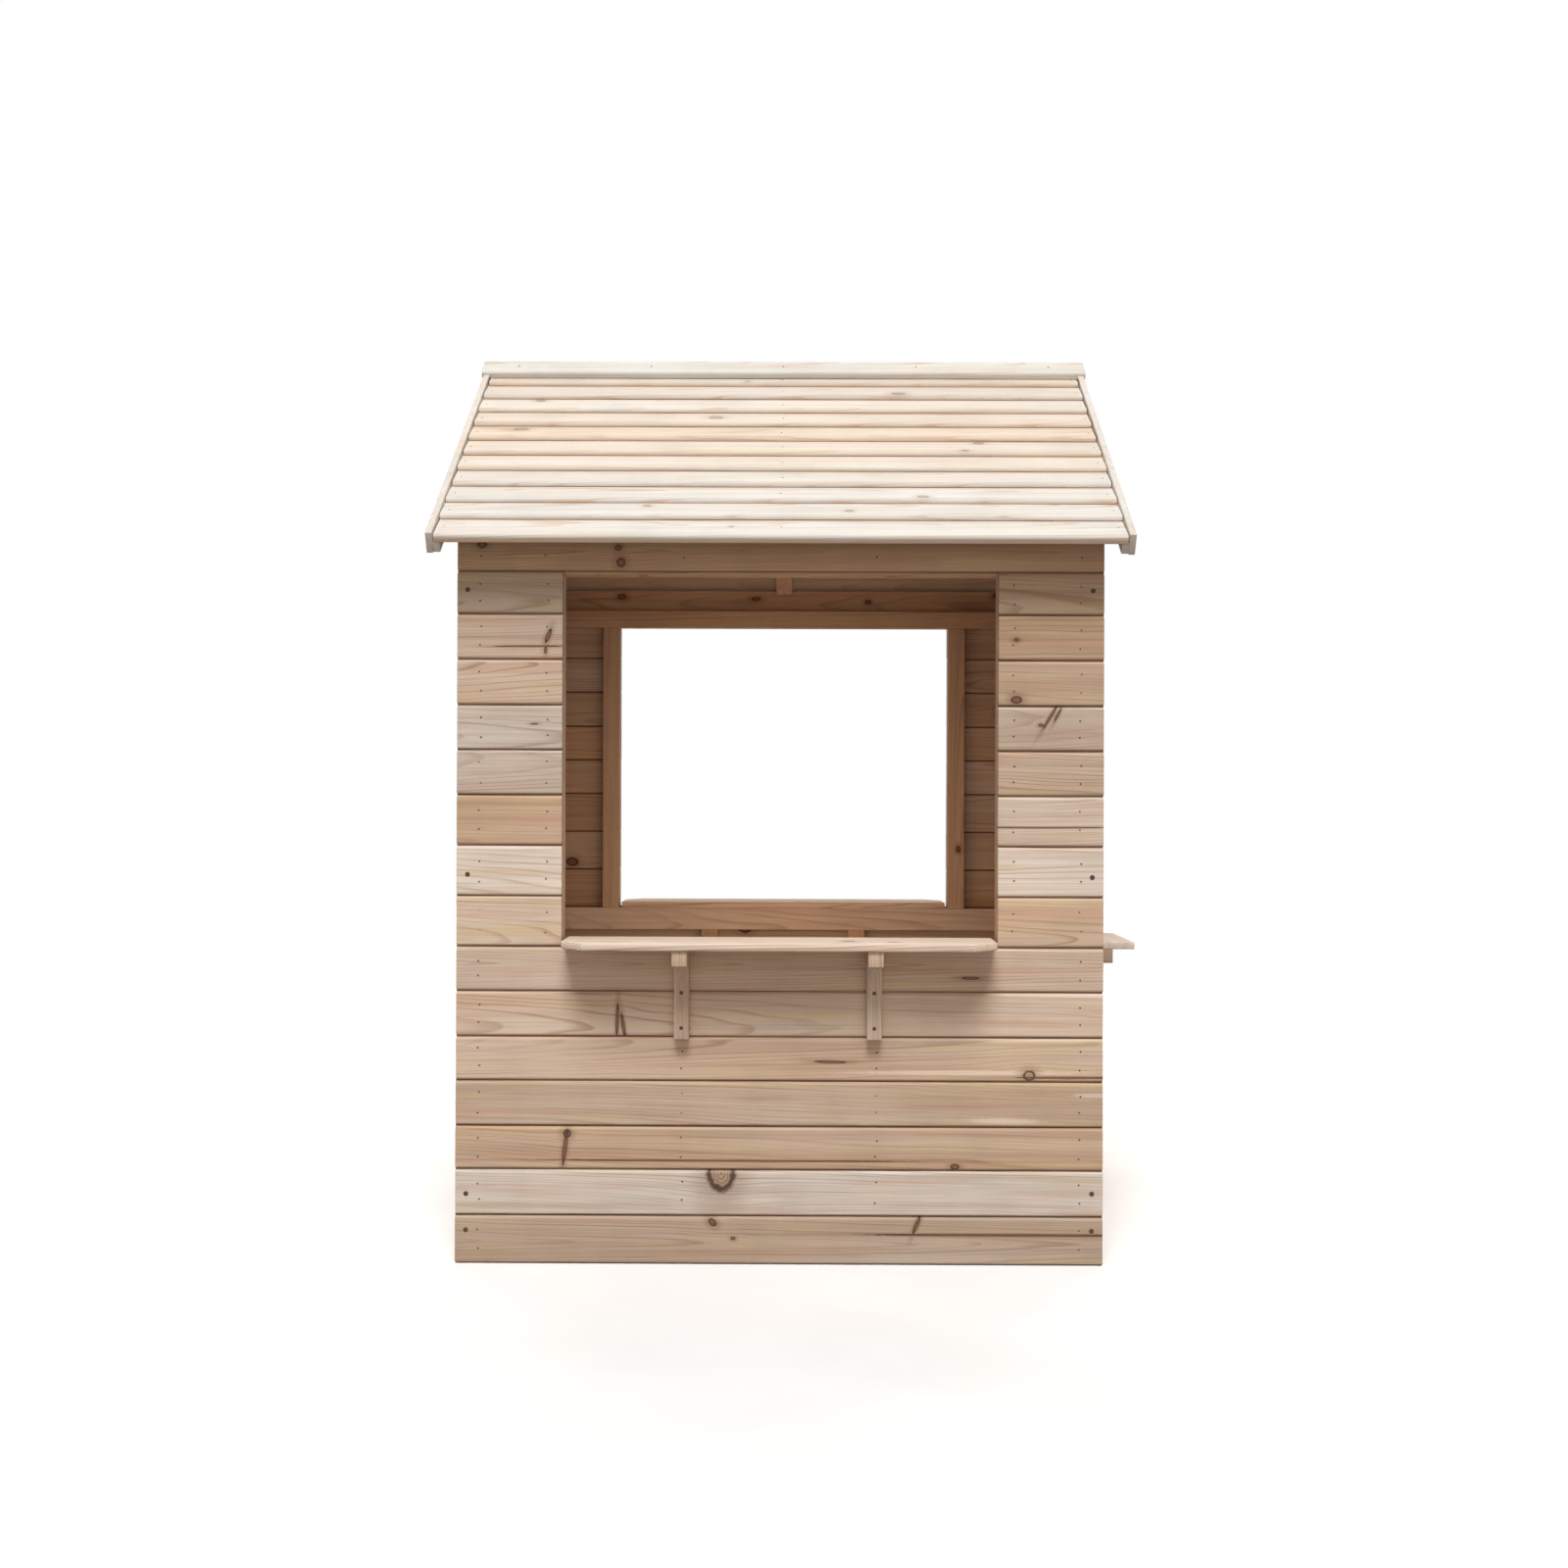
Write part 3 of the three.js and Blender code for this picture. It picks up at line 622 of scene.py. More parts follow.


# ---- Walls ----

# Wood of the boards of the front wall, from the bottom row up: lightness, warmth, greyness, and
# knots, cracks and pale streaks in millimetres from the board's left end and lower edge, as Stock
# takes them. The lightness of the top rows and of the header, under the eave, holds painted shade.
FRONT_LOWER_WOOD = [
    (
        (0.8, 0.57, 0.05),
        [
            (398, 65, 3, 1.2, 1.7, -0.4),
            (430, 40, 2.2),
            (713, 62, 1.9, 1, 6, 0.4),
            (850, 47, 1.6, 80, 1),
        ],
    ),
    ((0.94, -0.25, 0.3), [(411, 66, 19, 0.68, 1.3)]),
    (
        (0.93, 0.72, 0.0),
        [
            (170, 34, 2.0, 1, 12, 0.12),
            (173, 55, 4.5, 0.8, 1.3),
            (420, 14, 1.2, 140, 1),
            (772, 6, 4),
        ],
    ),
    ((0.89, 0.54, 0.0), [(846, 10, -5, 9, 1, -2), (985, 50, -3.5, 7, 1)]),
    (
        (1.03, 0.56, 0.0),
        [
            (886, 10, 9.5, 0.6, 0.7),
            (950, 7, 1.4, 36, 1),
            (580, 30, 2, 7, 1, -3),
            (790, 14, -4, 34, 1),
        ],
    ),
    ((1.05, 0.46, 0.05), [(250, 26, 1.5, 1, 14, 0.03), (259, 18, 1.6, 1, 10, -0.16)]),
    ((0.97, 0.5, 0.1), [(795, 22, 2, 4, 1)]),
]
FRONT_LEFT_WOOD = [
    ((1.05, 0.35, 0.0), []),
    ((1.1, -0.2, 0.2), []),
    ((0.98, 0.87, 0.0), []),
    ((0.88, 0.22, 0.2), []),
    ((0.92, 0.1, 0.35), [(120, 40, 1.1, 3, 1)]),
    ((0.98, 0.44, 0.0), []),
    ((0.94, 0.5, 0.05), [(141, 36, 2.4, 0.9, 4, 0.35), (137, 14, 1.5, 1, 3), (110, 20, 1.1, 28, 1)]),
    # Top row, under the eave: its low lightness is painted shade.
    ((0.76, 0.6, 0.0), []),
]
FRONT_RIGHT_WOOD = [
    ((1.04, 0.64, 0.0), []),
    ((1.08, -0.1, 0.2), []),
    ((0.97, 0.3, 0.0), [(70, 30, 1.0, 60, 1)]),
    ((0.9, 0.5, 0.0), []),
    ((0.84, 0.4, 0.1), [(80, 52, 1.5, 1, 11, 0.6), (92, 56, 1.3, 1, 7, 0.5), (66, 40, 2.2)]),
    ((0.88, 0.64, 0.0), [(28, 10, 5)]),
    ((0.9, 0.9, 0.0), [(28, 32, 2.5)]),
    # Top row, under the eave: its low lightness is painted shade.
    ((0.77, 0.66, 0.0), []),
]
FRONT_HEADER_WOOD = [
    # Darker and warmer than the rows below: partly the board's own redder wood, partly painted shade
    # under the eave.
    ((0.92, 1.25, 0.0), [(38, 41, 4.5), (249, 37, 4, 0.8, 1), (253, 14, 5.5, 0.75, 1.1)]),
]
BACK_HEADER_WOOD = [
    ((1.2, 1.1, 0.0), [(61, 66, 5), (327, 52, 4), (558, 58, 3.5, 1.6, 1), (836, 62, 5)]),
]
# Lightness, warmth and greyness of the boards of the front roof slope, from the eave up.
FRONT_ROOF_TONES = [
    (1.04, 0.05, 0.0),
    (1.03, 0.05, 0.0),
    (1.04, 0.05, 0.0),
    (1.03, 0.1, 0.0),
    (1.06, 0.38, 0.0),
    (1.05, 0.4, 0.0),
    (1.04, 0.75, 0.0),
    (1.04, 0.55, 0.0),
    (1.07, 0.35, 0.0),
    (1.0, 0.35, 0.0),
    (1.0, 0.6, 0.0),
]


def wall_axes(side):
    """Along, across and out of an eave wall's boards; side is -1 for the front, 1 for the back."""
    return Vector((-side, 0, 0)), UP, Vector((0, side, 0))


def eave_boards(side, node, wood):
    """Horizontal boards that fill one CAD panel of an eave wall; gives back its rows."""
    low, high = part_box(node)
    axes = wall_axes(side)
    length = high.x - low.x
    start_x = low.x if side < 0 else high.x
    outer_y = low.y if side < 0 else high.y
    rows = rows_between(low.z, high.z)
    timber = Timber()
    for number, (bottom, top) in enumerate(rows):
        width = top - bottom
        tone, knots = None, random_knots(length, width)
        if wood:
            tone, marks = wood[number]
            knots = [(x * MM, z * MM, radius * MM, *shape) for x, z, radius, *shape in marks]
        stock = Stock(width, tone, knots)
        origin = Vector((start_x, outer_y - side * CLADDING, bottom))
        profile = tongued_profile(width, tongue=top < CEILING, groove=bottom > 0.001)
        cuts = constant(rng.uniform(0, 0.5) * MM), constant(length - rng.uniform(0, 0.5) * MM)
        add_board(timber, origin, axes, profile, cuts, stock)
    timber.piece(node + "_planks", WALL_WOOD, "house", "cladding_wood", [node])
    return rows


def nail_pairs(rows, places, point, out):
    """Two nails in each row at each place; point turns a place and a height into a position."""
    for bottom, top in rows:
        width = top - bottom
        for place in places:
            shares = NAIL_SHARES if width > 55 * MM else (0.5,)
            for share in shares:
                HOUSE_NAILS.nail(point(place + jitter(), bottom + share * width + jitter(3 * MM)), out)


def eave_wall(name, side):
    """Boards, nails, screws, frame, brackets and shelf of one wall under an eave."""
    woods = {"header": BACK_HEADER_WOOD}
    if side < 0:
        woods = {
            "lower": FRONT_LOWER_WOOD,
            "left": FRONT_LEFT_WOOD,
            "right": FRONT_RIGHT_WOOD,
            "header": FRONT_HEADER_WOOD,
        }
    out = Vector((0, side, 0))
    outer_y = side * HALF_DEPTH

    def point(x, z):
        return Vector((x, outer_y, z))

    for part in ("left", "right"):
        node = f"{name}_{part}_boards"
        rows = eave_boards(side, node, woods.get(part))
        low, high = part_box(node)
        corner = low.x if low.x < CENTRE_X - HALF_WIDTH / 2 else high.x
        inward = 1 if corner == low.x else -1
        jamb = high.x if inward > 0 else low.x
        nail_pairs(rows, (corner + inward * NAIL_EDGE, jamb - inward * 24 * MM), point, out)
    rows = eave_boards(side, f"{name}_lower_boards", woods.get("lower"))
    studs = [sum(c.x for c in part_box(f"{name}_{hand}_stud")) / 2 for hand in ("left", "right")]
    ends = (CENTRE_X - HALF_WIDTH + NAIL_EDGE, CENTRE_X + HALF_WIDTH - NAIL_EDGE)
    nail_pairs(rows, (*ends, *studs), point, out)
    rows = eave_boards(side, f"{name}_header_boards", woods["header"])
    nail_pairs(rows, (*ends, *studs, ends[0] + 100 * MM), point, out)
    for height in WALL_SCREW_HEIGHTS:
        for edge in (-1, 1):
            x = CENTRE_X + edge * (HALF_WIDTH - 17 * MM) + jitter(1 * MM)
            HOUSE_SCREWS.screw(point(x, height + jitter(4 * MM)), out)
    for hand in ("left", "right"):
        frame_timber(f"{name}_{hand}_corner_post", UP)
        frame_timber(f"{name}_{hand}_jamb", UP, tone=(1.02, 0.3, 0.45))
        frame_timber(f"{name}_{hand}_stud", UP)
        bracket(f"{name}_{hand}_bracket", side)
    frame_timber(f"{name}_sill_rail", RIGHT, tone=(1.22, 0.1, 0.85), often=0.0)
    frame_timber(f"{name}_top_rail", RIGHT)
    pale = (1.14, 0.15, 0.0)
    timber_from_node(f"{name}_shelf", RIGHT, WALL_WOOD, "shelf_wood", bevel=2.2 * MM, tone=pale)


def eased_copy(node, name, bevel, sharp_from):
    """A copy of the CAD node's mesh with its arrises eased; sharp_from is in degrees."""
    work = bmesh.new()
    work.from_mesh(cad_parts[node].data)
    bmesh.ops.remove_doubles(work, verts=work.verts, dist=MERGE_DISTANCE)
    bmesh.ops.dissolve_limit(work, angle_limit=math.radians(1), verts=work.verts, edges=work.edges)
    sharp = [edge for edge in work.edges if edge.calc_face_angle(0) > math.radians(sharp_from)]
    bmesh.ops.bevel(
        work, geom=sharp, offset=bevel, segments=2, profile=0.6, affect="EDGES", clamp_overlap=True
    )
    mesh = bpy.data.meshes.new(name)
    work.to_mesh(mesh)
    work.free()
    mesh.materials.clear()
    return mesh


def timber_from_node(node, along, material, slot, body="house", bevel=1.0 * MM, tone=None, often=1.0):
    """A batten or board of the CAD node's own shape, with its grain along the given direction."""
    low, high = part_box(node)
    size = high - low
    length = abs(size.dot(along))
    across = max(
        (axis for axis in (RIGHT, REARWARD, UP) if abs(axis.dot(along)) < 0.7),
        key=lambda axis: abs(size.dot(axis)),
    )
    out = along.cross(across)
    width = abs(size.dot(across))
    stock = Stock(width, tone, random_knots(length, width, often))
    mesh = eased_copy(node, node + "_timber", bevel, 20)
    timber = Timber()
    for vertex in mesh.vertices:
        offset = vertex.co - low
        place = (offset.dot(axis) for axis in (along, across, out))
        timber.vertex(vertex.co, *stock.values(*place), 0.35)
    timber.write(mesh)
    finish_piece(mesh, node + "_timber", material, body, [node])


def frame_timber(node, along, **settings):
    """A batten of the rougher, sawn wood."""
    timber_from_node(node, along, FRAME_WOOD, "frame_wood", **settings)


def bracket(node, side):
    """Leg batten and arm batten under a shelf; the leg has two screws."""
    low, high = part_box(node)
    tone = (rng.uniform(0.94, 1.08), rng.uniform(0.25, 0.5), 0.0)
    timber_from_node(node, UP, WALL_WOOD, "cladding_wood", bevel=1.6 * MM, tone=tone, often=0.2)
    x = (low.x + high.x) / 2
    front = side * (HALF_DEPTH + BRACKET_LEG_THICK)
    out = Vector((0, side, 0))
    for height in BRACKET_SCREW_HEIGHTS:
        HOUSE_SCREWS.screw(Vector((x, front, low.z + height)), out, BRACKET_SCREW_RADIUS)


def ridge_height(below):
    """Height at the ridge of a plane that lies this far below the roof boards' upper edges."""
    eave = roof_origin()
    return eave.z - eave.y * math.tan(ROOF_PITCH) - below / math.cos(ROOF_PITCH)


def roof_origin():
    """Upper corner of the front eave board's edge, at the roof boards' left end."""
    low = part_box("front_roof_boards")[0]
    # The lowest corner is the eave board's lower edge, one board's thickness below this one.
    rise = ROOF_BOARD * math.cos(ROOF_PITCH)
    return Vector((low.x, low.y, low.z + rise))


def gable_panel(node, side, y_low, y_high, z_low, z_high, under_roof):
    """Horizontal boards of one gable panel; side is 1 for the door gable."""
    axes = Vector((0, side, 0)), UP, Vector((side, 0, 0))
    outer = CENTRE_X + side * HALF_WIDTH
    start = y_low if side > 0 else y_high
    rows = rows_between(z_low, z_high)
    timber = Timber()
    kept = []
    for bottom, top in rows:
        width = top - bottom
        length = y_high - y_low

        def reach(across, base=bottom):
            """How far from the ridge line a board may run at this height."""
            if not under_roof:
                return FAR
            free = ridge_height(ROOF_BOARD + 0.8 * MM) - base - across
            return free / math.tan(ROOF_PITCH)

        if reach(width) < 12 * MM:
            width = min(width, reach(0.0) * math.tan(ROOF_PITCH) - 2 * MM)
            if width < 14 * MM:
                continue
        limit = -y_low if side > 0 else y_high
        cuts = (
            lambda across, r=reach, m=limit: m - min(m, max(r(across), 2 * MM)),
            lambda across, r=reach, m=limit, l=length: l - m + min(m, max(r(across), 2 * MM)),
        )
        if not under_roof:
            cuts = constant(rng.uniform(0, 0.4) * MM), constant(length - rng.uniform(0, 0.4) * MM)
        stock = Stock(width, None, random_knots(length, width))
        origin = Vector((outer - side * CLADDING, start, bottom))
        last = top >= rows[-1][1] - 1e-6 or (under_roof and reach(width) < 60 * MM)
        profile = tongued_profile(width, tongue=not last, groove=bottom > 0.001)
        add_board(timber, origin, axes, profile, cuts, stock)
        kept.append((bottom, bottom + width, reach(width)))
    timber.piece(node + "_planks", WALL_WOOD, "house", "cladding_wood", [node])
    return kept


def gable_nails(rows, side, places):
    """Nail pairs at each place, and one nail near each slanting end."""
    x = CENTRE_X + side * HALF_WIDTH
    out = Vector((side, 0, 0))
    for bottom, top, reach in rows:
        for place in places:
            if abs(place) < reach - 15 * MM:
                for share in NAIL_SHARES:
                    y = place + jitter()
                    z = bottom + share * (top - bottom) + jitter(3 * MM)
                    HOUSE_NAILS.nail(Vector((x, y, z)), out)
        if 60 * MM < reach < HALF_DEPTH:
            for sign in (-1, 1):
                where = Vector((x, sign * (reach - 25 * MM), (bottom + top) / 2))
                HOUSE_NAILS.nail(where, out)


def gables():
    """Boards and nails of both gables, and the frame and side shelf of the door gable."""
    inner = HALF_DEPTH - CLADDING
    post = inner - 17 * MM
    low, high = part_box("closed_gable_boards")
    rows = gable_panel("closed_gable_boards", -1, low.y, high.y, low.z, high.z, under_roof=True)
    gable_nails(rows, -1, (-post, post, 0.0))
    middle = sum(corner.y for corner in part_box("door_post")) / 2
    places = {
        "gable_boards_below_window": (-post, middle),
        "gable_boards_front": (-post,),
        "gable_boards_middle": (middle,),
        "gable_boards_rear": (post,),
        "gable_boards_top": (-post, middle, post),
    }
    for node, nails in places.items():
        low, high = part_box(node)
        top_panel = node == "gable_boards_top"
        rows = gable_panel(node, 1, low.y, high.y, low.z, high.z, under_roof=top_panel)
        gable_nails(rows, 1, nails)
    frame_timber("door_post", UP)
    frame_timber("door_head_rail", REARWARD)
    grey = (1.02, 0.0, 0.35)
    timber_from_node("side_shelf", REARWARD, WALL_WOOD, "shelf_wood", bevel=2.0 * MM, tone=grey)
    # The arms' low lightness is painted shade: they stand under the side shelf.
    for node in ("side_shelf_front_arm", "side_shelf_rear_arm"):
        frame_timber(node, RIGHT, tone=(0.72, 0.4, 0.4), often=0.0)


# ---- Roof ----


def lapped_profile(showing, is_eave):
    """Section of a lapped roof board: across is up the slope from its rounded lower edge, out is
    square off the slope, with 0 at the upper corner of the lower edge."""
    lap = 8 * MM
    nose = 6.5 * MM
    bottom = -ROOF_BOARD if is_eave else -ROOF_STEP + 0.3 * MM
    fall = (ROOF_STEP - 0.4 * MM) / showing
    # The rim values paint shade: they grow down the rounded nose towards its lower, downward-facing
    # part, and are high under the nose and where the board runs in under the one above.
    points = [(showing - 1.5 * MM, -ROOF_STEP + 0.3 * MM, 0.6)]
    points += [(showing - 5 * MM, -ROOF_STEP + 0.8 * MM, 0.0)]
    points += [(nose + 8 * MM, -fall * (nose + 8 * MM), 0.0)]
    steps = 6
    for step in range(steps):
        angle = math.pi / 2 * step / (steps - 1)
        nose_shade = 0.55 * step / (steps - 1)
        across = nose * (1 - math.sin(angle))
        points.append((across, -nose * (1 - math.cos(angle)) - 0.5 * MM, nose_shade))
    points += [(0.1 * MM, bottom + 1.0 * MM, 0.8), (0.9 * MM, bottom + 0.1 * MM, 1.0)]
    if is_eave:
        points += [(2.4 * MM, bottom, 0.2)]
    else:
        points += [(lap + 0.6 * MM, bottom, 1.0), (lap + 0.6 * MM, -ROOF_BOARD + 0.5 * MM, 0.8)]
        points += [(lap + 1.4 * MM, -ROOF_BOARD, 0.3)]
    upper = showing + lap
    points += [(upper - 0.8 * MM, -ROOF_BOARD, 0.3), (upper, -ROOF_BOARD + 0.5 * MM, 0.8)]
    points += [(upper, -ROOF_STEP - 0.1 * MM, 1.0), (showing, -ROOF_STEP, 1.0)]
    return points


def slope_axes(side):
    """Along, up the slope, and out of it; side is -1 for the front slope."""
    up_slope = Vector((0, -side * math.cos(ROOF_PITCH), math.sin(ROOF_PITCH)))
    along = Vector((-side, 0, 0))
    return along, up_slope, along.cross(up_slope)


def slope_length():
    """Length of a slope from its eave to the ridge line."""
    return -roof_origin().y / math.cos(ROOF_PITCH)


def roof_slope(name, side):
    """The lapped boards of one slope with their nails, its barge boards and its middle rafter."""
    axes = slope_axes(side)
    along, up_slope, out = axes
    low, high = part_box("front_roof_boards")
    length = high.x - low.x
    eave = roof_origin()
    corner = Vector((high.x if side > 0 else low.x, -side * eave.y, eave.z))
    edges = [0.0]
    edge = EAVE_BOARD_SHOWING
    while edge < slope_length() - CAP_WIDTH / 2:
        edges.append(edge)
        edge += ROOF_BOARD_SHOWING
    edges.append(slope_length() - 16 * MM)
    underside = -ROOF_BOARD + 0.3 * MM
    timber = Timber()
    for number, (start, end) in enumerate(zip(edges[:-1], edges[1:])):
        showing = end - start
        tone = random_tone((0.98, 1.07), (0.0, 0.8), (0.0, 0.3))
        if side < 0:
            tone = FRONT_ROOF_TONES[number]
        # Below the underside level the board takes the room side's painted shade tone.
        stock = Stock(showing, tone, random_knots(length, showing, 1.2), underside)
        profile = lapped_profile(showing, number == 0)
        cuts = constant(rng.uniform(0.2, 2.0) * MM), constant(length - rng.uniform(0.2, 2.0) * MM)
        origin = corner + up_slope * start
        add_board(timber, origin, axes, profile, cuts, stock, sections=12, bow=0.35 * MM)
        for place in (11 * MM, length / 2, length - 11 * MM):
            share = 0.45 if number else 0.55
            slip = showing * share + jitter(2 * MM)
            level = -ROOF_STEP * slip / showing
            spot = origin + along * (place + jitter()) + up_slope * slip + out * level
            ROOF_NAILS.nail(spot, out)
    timber.piece(f"{name}_roof_planks", ROOF_WOOD, "house", "roof_wood", [f"{name}_roof_boards"])
    pale = (1.02, 0.15, 0.0)
    for hand in ("left", "right"):
        node = f"{name}_{hand}_barge"
        timber_from_node(node, up_slope, ROOF_WOOD, "roof_wood", bevel=1.2 * MM, tone=pale)
    frame_timber(f"{name}_middle_rafter", up_slope, tone=(1.25, 0.2, 0.3))


def ridge_cap():
    """Two boards that meet along the ridge."""
    low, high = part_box("ridge_cap")
    length = high.x - low.x
    lift = 0.4 * MM
    mitred = CAP_WIDTH + CAP_THICK * math.tan(ROOF_PITCH)
    profile = [
        (0.0, -3.8 * MM, 0.5),
        (0.2 * MM, CAP_THICK - 6.6 * MM, 0.0),
        (1.3 * MM, CAP_THICK - 4.1 * MM, 0.0),
        (3.2 * MM, CAP_THICK - 2.6 * MM, 0.0),
        (6.0 * MM, CAP_THICK - 1.9 * MM, 0.0),
        (CAP_WIDTH - 4 * MM, CAP_THICK, 0.0),
        (mitred - 1.6 * MM, CAP_THICK, 0.1),
        (mitred - 0.9 * MM, CAP_THICK - 0.7 * MM, 0.5),
        (CAP_WIDTH - 0.3 * MM, -1.2 * MM, 0.5),
        (1.2 * MM, -4.4 * MM, 0.8),
    ]
    eave = roof_origin()
    timber = Timber()
    for side in (-1, 1):
        axes = slope_axes(side)
        along, up_slope, out = axes
        corner = Vector((high.x if side > 0 else low.x, -side * eave.y, eave.z))
        origin = corner + up_slope * (slope_length() - CAP_WIDTH) + out * lift
        stock = Stock(CAP_WIDTH, (1.02, 0.0, 0.1), random_knots(length, CAP_WIDTH, 1.0))
        cuts = constant(0.3 * MM), constant(length - 0.3 * MM)
        add_board(timber, origin, axes, profile, cuts, stock, sections=12, bow=0.2 * MM)
        for place in (0.06, 0.28, 0.5, 0.72, 0.94):
            spot = origin + along * length * place + up_slope * 24 * MM + out * CAP_THICK
            ROOF_NAILS.nail(spot, out)
    timber.piece("ridge_cap_planks", ROOF_WOOD, "house", "roof_wood", ["ridge_cap"])


# ---- Door ----


def door():
    """The door's boards, ledges with their screws, knob and hinges."""
    width = (DOOR_HIGH.y - DOOR_LOW.y) / DOOR_BOARDS
    height = DOOR_HIGH.z - DOOR_LOW.z
    axes = UP, REARWARD, RIGHT
    timber = Timber()
    for number in range(DOOR_BOARDS):
        stock = Stock(width, None, random_knots(height, width))
        origin = Vector((DOOR_LOW.x, DOOR_LOW.y + number * width, DOOR_LOW.z))
        profile = tongued_profile(width, tongue=number < DOOR_BOARDS - 1, groove=number > 0)
        cuts = constant(rng.uniform(0, 0.8) * MM), constant(height - rng.uniform(0, 0.8) * MM)
        add_board(timber, origin, axes, profile, cuts, stock)
    timber.piece("door_planks", WALL_WOOD, "door", "cladding_wood", ["door_boards"])
    for node in ("door_lower_ledge", "door_upper_ledge"):
        frame_timber(node, REARWARD, body="door", bevel=2 * MM)
        low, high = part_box(node)
        for number in range(DOOR_BOARDS):
            y = DOOR_LOW.y + (number + 0.5) * width
            if low.y + 8 * MM < y < high.y - 8 * MM:
                for share in (0.27, 0.73):
                    z = low.z + share * (high.z - low.z)
                    spot = Vector((low.x, y + jitter(), z + jitter()))
                    DOOR_SCREWS.screw(spot, -RIGHT, LEDGE_SCREW_RADIUS)
    door_knob()
    for name in ("lower_hinge", "upper_hinge"):
        hinge(name)


def metal_from_node(node, body):
    """A metal fitting of the CAD node's own shape, with its arrises eased."""
    mesh = eased_copy(node, node + "_metal", 0.25 * MM, 50)
    finish_piece(mesh, node + "_metal", ZINC, body, [node], smooth=35)


def hinge(name):
    """Both leaves of a butt hinge, each with three staggered screws, and the pin."""
    for leaf, body in (("frame_leaf", "house"), ("door_leaf", "door")):
        node = f"{name}_{leaf}"
        metal_from_node(node, body)
        low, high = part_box(node)
        flat = high.y - 13 * MM if body == "house" else low.y + 13 * MM
        for number, share in enumerate((0.17, 0.5, 0.83)):
            y = flat + (4 * MM if number == 1 else -2 * MM) * (1 if body == "house" else -1)
            z = low.z + share * (high.z - low.z)
            HINGE_SCREWS[body].screw(Vector((low.x + 2 * MM, y, z)), RIGHT, HINGE_SCREW_RADIUS)
    metal_from_node(f"{name}_pin", "house")


def door_knob():
    """Turned softwood knob, on the door's outer face. outline: (share of radius, share of length)."""
    low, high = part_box("door_knob")
    radius = (high.z - low.z) / 2
    length = high.x - low.x
    centre = Vector((low.x, (low.y + high.y) / 2, (low.z + high.z) / 2))
    outline = [(0.70, 0.0), (0.66, 0.03), (0.57, 0.1), (0.52, 0.2), (0.5, 0.32), (0.56, 0.4)]
    outline += [(0.74, 0.47), (0.9, 0.55), (0.98, 0.66), (0.985, 0.76), (0.9, 0.87)]
    outline += [(0.72, 0.945), (0.5, 0.98), (0.25, 0.995)]
    sides = 40
    timber = Timber()
    stock = Stock(2 * radius, (1.05, -0.02, 0.2), [])
    for share, height in outline:
        for step in range(sides):
            angle = step * math.tau / sides
            y = radius * share * math.cos(angle)
            z = radius * share * math.sin(angle)
            point = centre + Vector((height * length, y, z))
            timber.vertex(point, *stock.values(height * length, y, z), 0.1)
    timber.faces += tube_faces(0, len(outline), sides)
    timber.piece("door_knob_turned", ROOF_WOOD, "door", "shelf_wood", ["door_knob"], smooth=50)


# ---- Floor, light and camera ----


def stage():
    """A plain pale floor."""
    mesh = bpy.data.meshes.new("floor")
    corners = [(-1, -1), (1, -1), (1, 1), (-1, 1)]
    points = [(x * FLOOR_HALF, y * FLOOR_HALF, 0) for x, y in corners]
    mesh.from_pydata(points, [], [(0, 1, 2, 3)])
    mesh.materials.append(floor_material())
    floor = bpy.data.objects.new("floor", mesh)
    bpy.context.scene.collection.objects.link(floor)
    floor.visible_diffuse = False
    floor.visible_shadow = False


def sun_light(name, elevation, azimuth, angle, strength, colour=(1.0, 1.0, 1.0)):
    """A broad soft light. Elevation, azimuth and angle are in degrees; azimuth 0 comes from the
    front, and positive turns towards the left."""
    data = bpy.data.lights.new(name, "SUN")
    data.energy = strength
    data.color = colour
    data.angle = math.radians(angle)
    light = bpy.data.objects.new(name, data)
    high, side = math.radians(elevation), math.radians(azimuth)
    flat = math.cos(high)
    towards = Vector((-math.sin(side) * flat, -math.cos(side) * flat, math.sin(high)))
    light.rotation_euler = (-towards).to_track_quat("-Z", "Y").to_euler()
    bpy.context.scene.collection.objects.link(light)


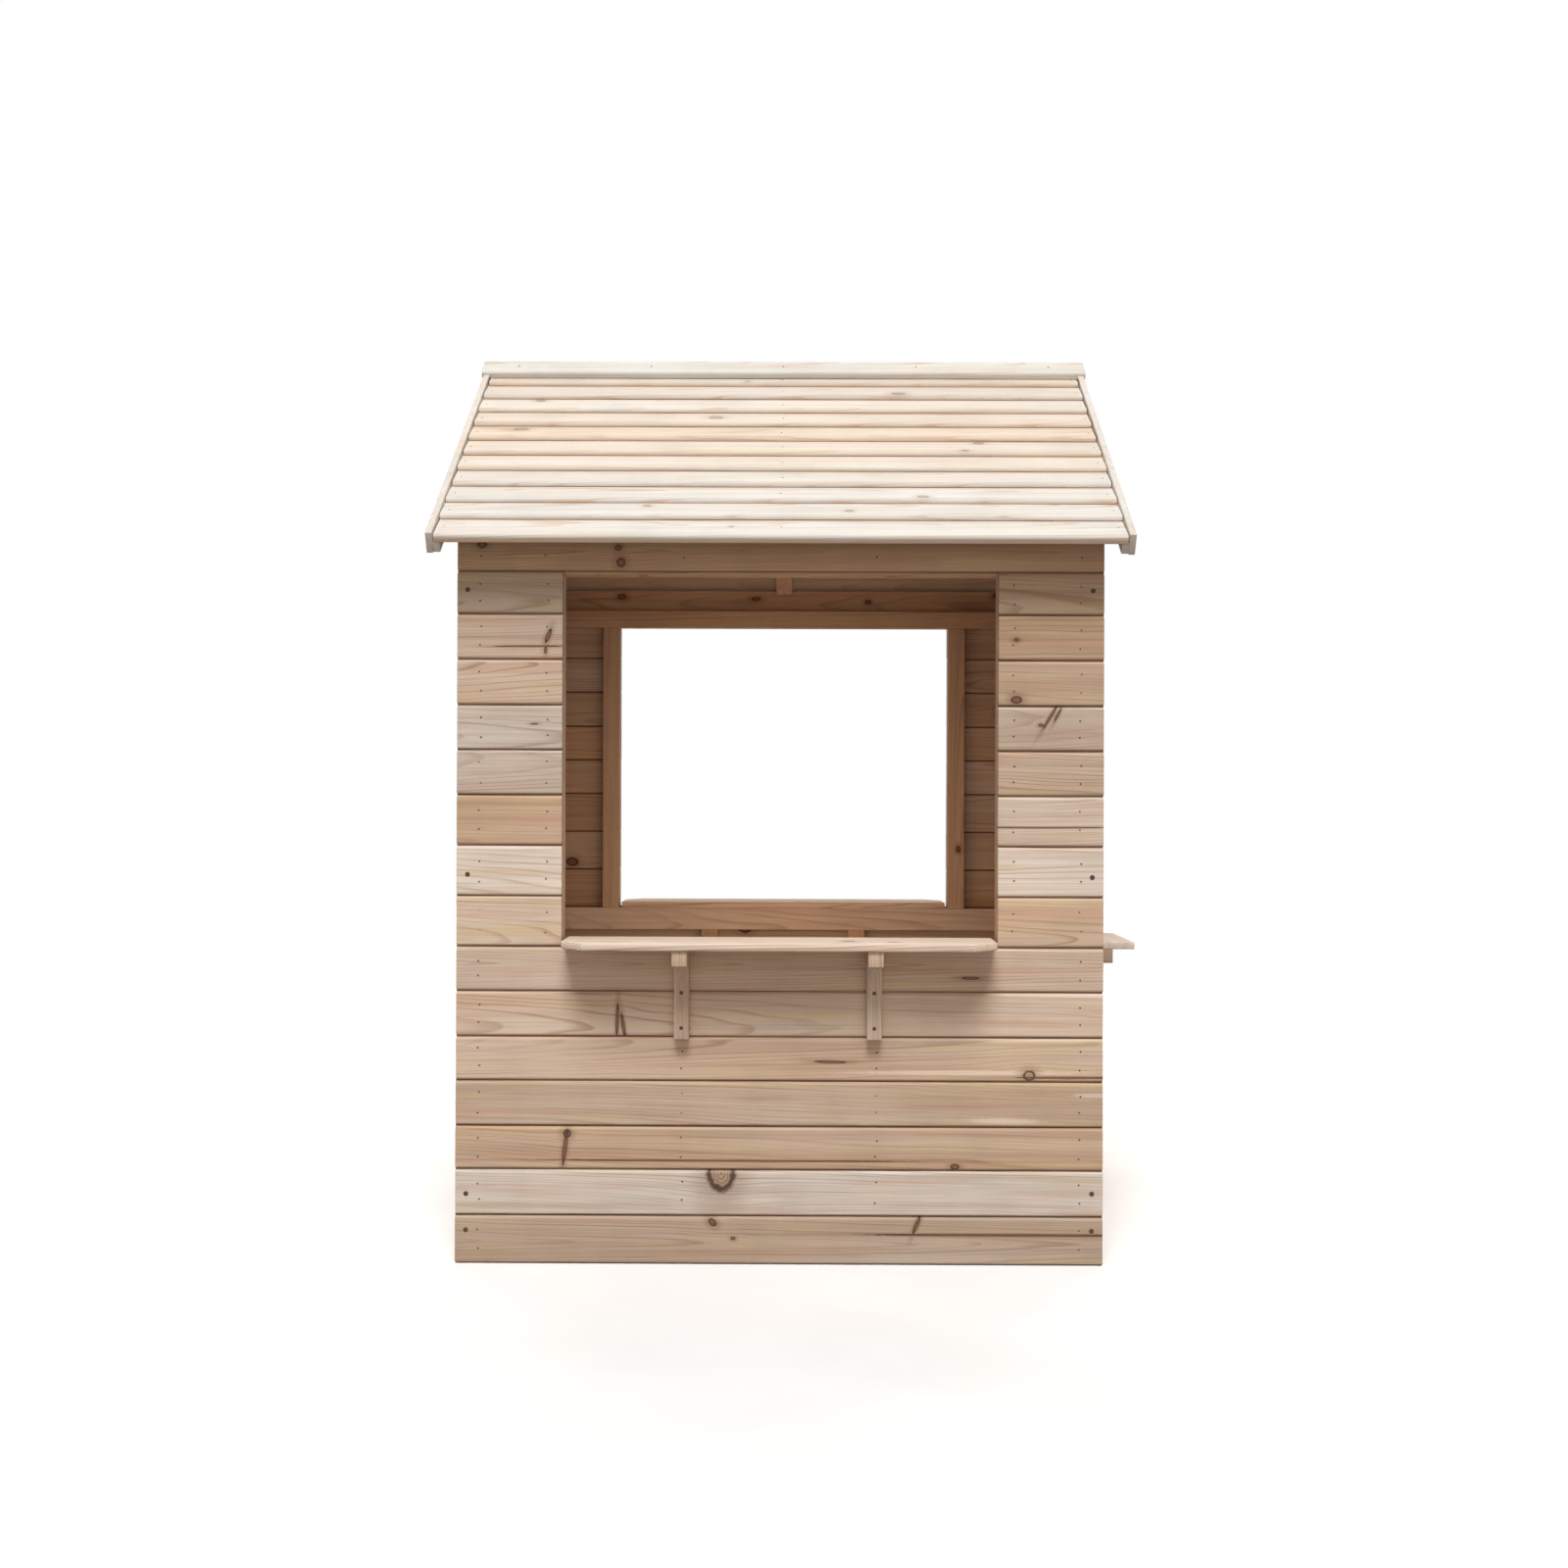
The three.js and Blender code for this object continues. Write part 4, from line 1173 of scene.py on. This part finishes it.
def lights():
    """An even pale studio: weak light from all round, a soft key from above the front, a faint
    one overhead, and warm fills from the front, the floor, the back, both sides and the room."""
    world = bpy.data.worlds.new("studio")
    bpy.context.scene.world = world
    world.use_nodes = True
    n = Nodes(world.node_tree)
    world.node_tree.nodes.clear()
    seen = n.add("ShaderNodeLightPath").outputs["Is Camera Ray"]
    strength = n.ramp(seen, 0.0, 1.0, 0.12, 1.0)
    background = n.add("ShaderNodeBackground", {"Color": (1, 1, 1, 1), "Strength": strength})
    output = n.add("ShaderNodeOutputWorld")
    world.node_tree.links.new(background.outputs[0], output.inputs[0])
    warm = (1.0, 0.84, 0.69)
    pale = (1.0, 0.88, 0.76)
    sun_light("soft_key", 58, 1, 25, 3.16)
    sun_light("soft_overhead", 88, 0, 20, 0.1)
    sun_light("soft_front", 8, -4, 50, 0.78, warm)
    sun_light("soft_floor_bounce", -32, 0, 60, 0.3, warm)
    sun_light("soft_back", 38, 180, 60, 1.8, pale)
    sun_light("soft_left", 4, 98, 50, 0.85, pale)
    sun_light("soft_right", 4, 262, 50, 0.85, pale)
    inside_light()


def inside_light():
    """A weak warm light for the room, as the sunlit floor and walls would give."""
    data = bpy.data.lights.new("warm_room_fill", "POINT")
    data.energy = 2.2
    data.color = (1.0, 0.54, 0.26)
    data.shadow_soft_size = 0.2
    light = bpy.data.objects.new("warm_room_fill", data)
    light.location = Vector((CENTRE_X, 0.03, SILL + 0.02))
    light.visible_camera = False
    bpy.context.scene.collection.objects.link(light)


def camera():
    """Stands in front of the serving window, at a child's eye level. Its place, lens and small
    turns give the photograph's view."""
    data = bpy.data.cameras.new("camera")
    data.sensor_width = 36.0
    data.lens = 45.1
    cam = bpy.data.objects.new("camera", data)
    turn = Matrix.Rotation(math.radians(0.302), 3, "Z")
    tip = Matrix.Rotation(math.radians(0.17), 3, "X")
    roll = Matrix.Rotation(math.radians(-0.2), 3, "Y")
    upright = Matrix.Rotation(math.radians(90), 3, "X")
    place = Matrix.Translation(Vector((-0.0013, -3.5535, 0.7328)))
    cam.matrix_world = place @ (turn @ tip @ roll @ upright).to_4x4()
    bpy.context.scene.collection.objects.link(cam)
    bpy.context.scene.camera = cam


camera()
stage()
lights()
bpy.context.scene.view_settings.view_transform = "Standard"

eave_wall("front", -1)
eave_wall("back", 1)
gables()
roof_slope("front", -1)
roof_slope("back", 1)
ridge_cap()
door()
HOUSE_NAILS.piece("wall_nails", NAIL_STEEL, "house")
ROOF_NAILS.piece("roof_nails", NAIL_STEEL, "house")
HOUSE_SCREWS.piece("wall_screws", SCREW_STEEL, "house")
DOOR_SCREWS.piece("door_ledge_screws", SCREW_STEEL, "door")
HINGE_SCREWS["house"].piece("hinge_screws_frame", SCREW_STEEL, "house")
HINGE_SCREWS["door"].piece("hinge_screws_door", SCREW_STEEL, "door")
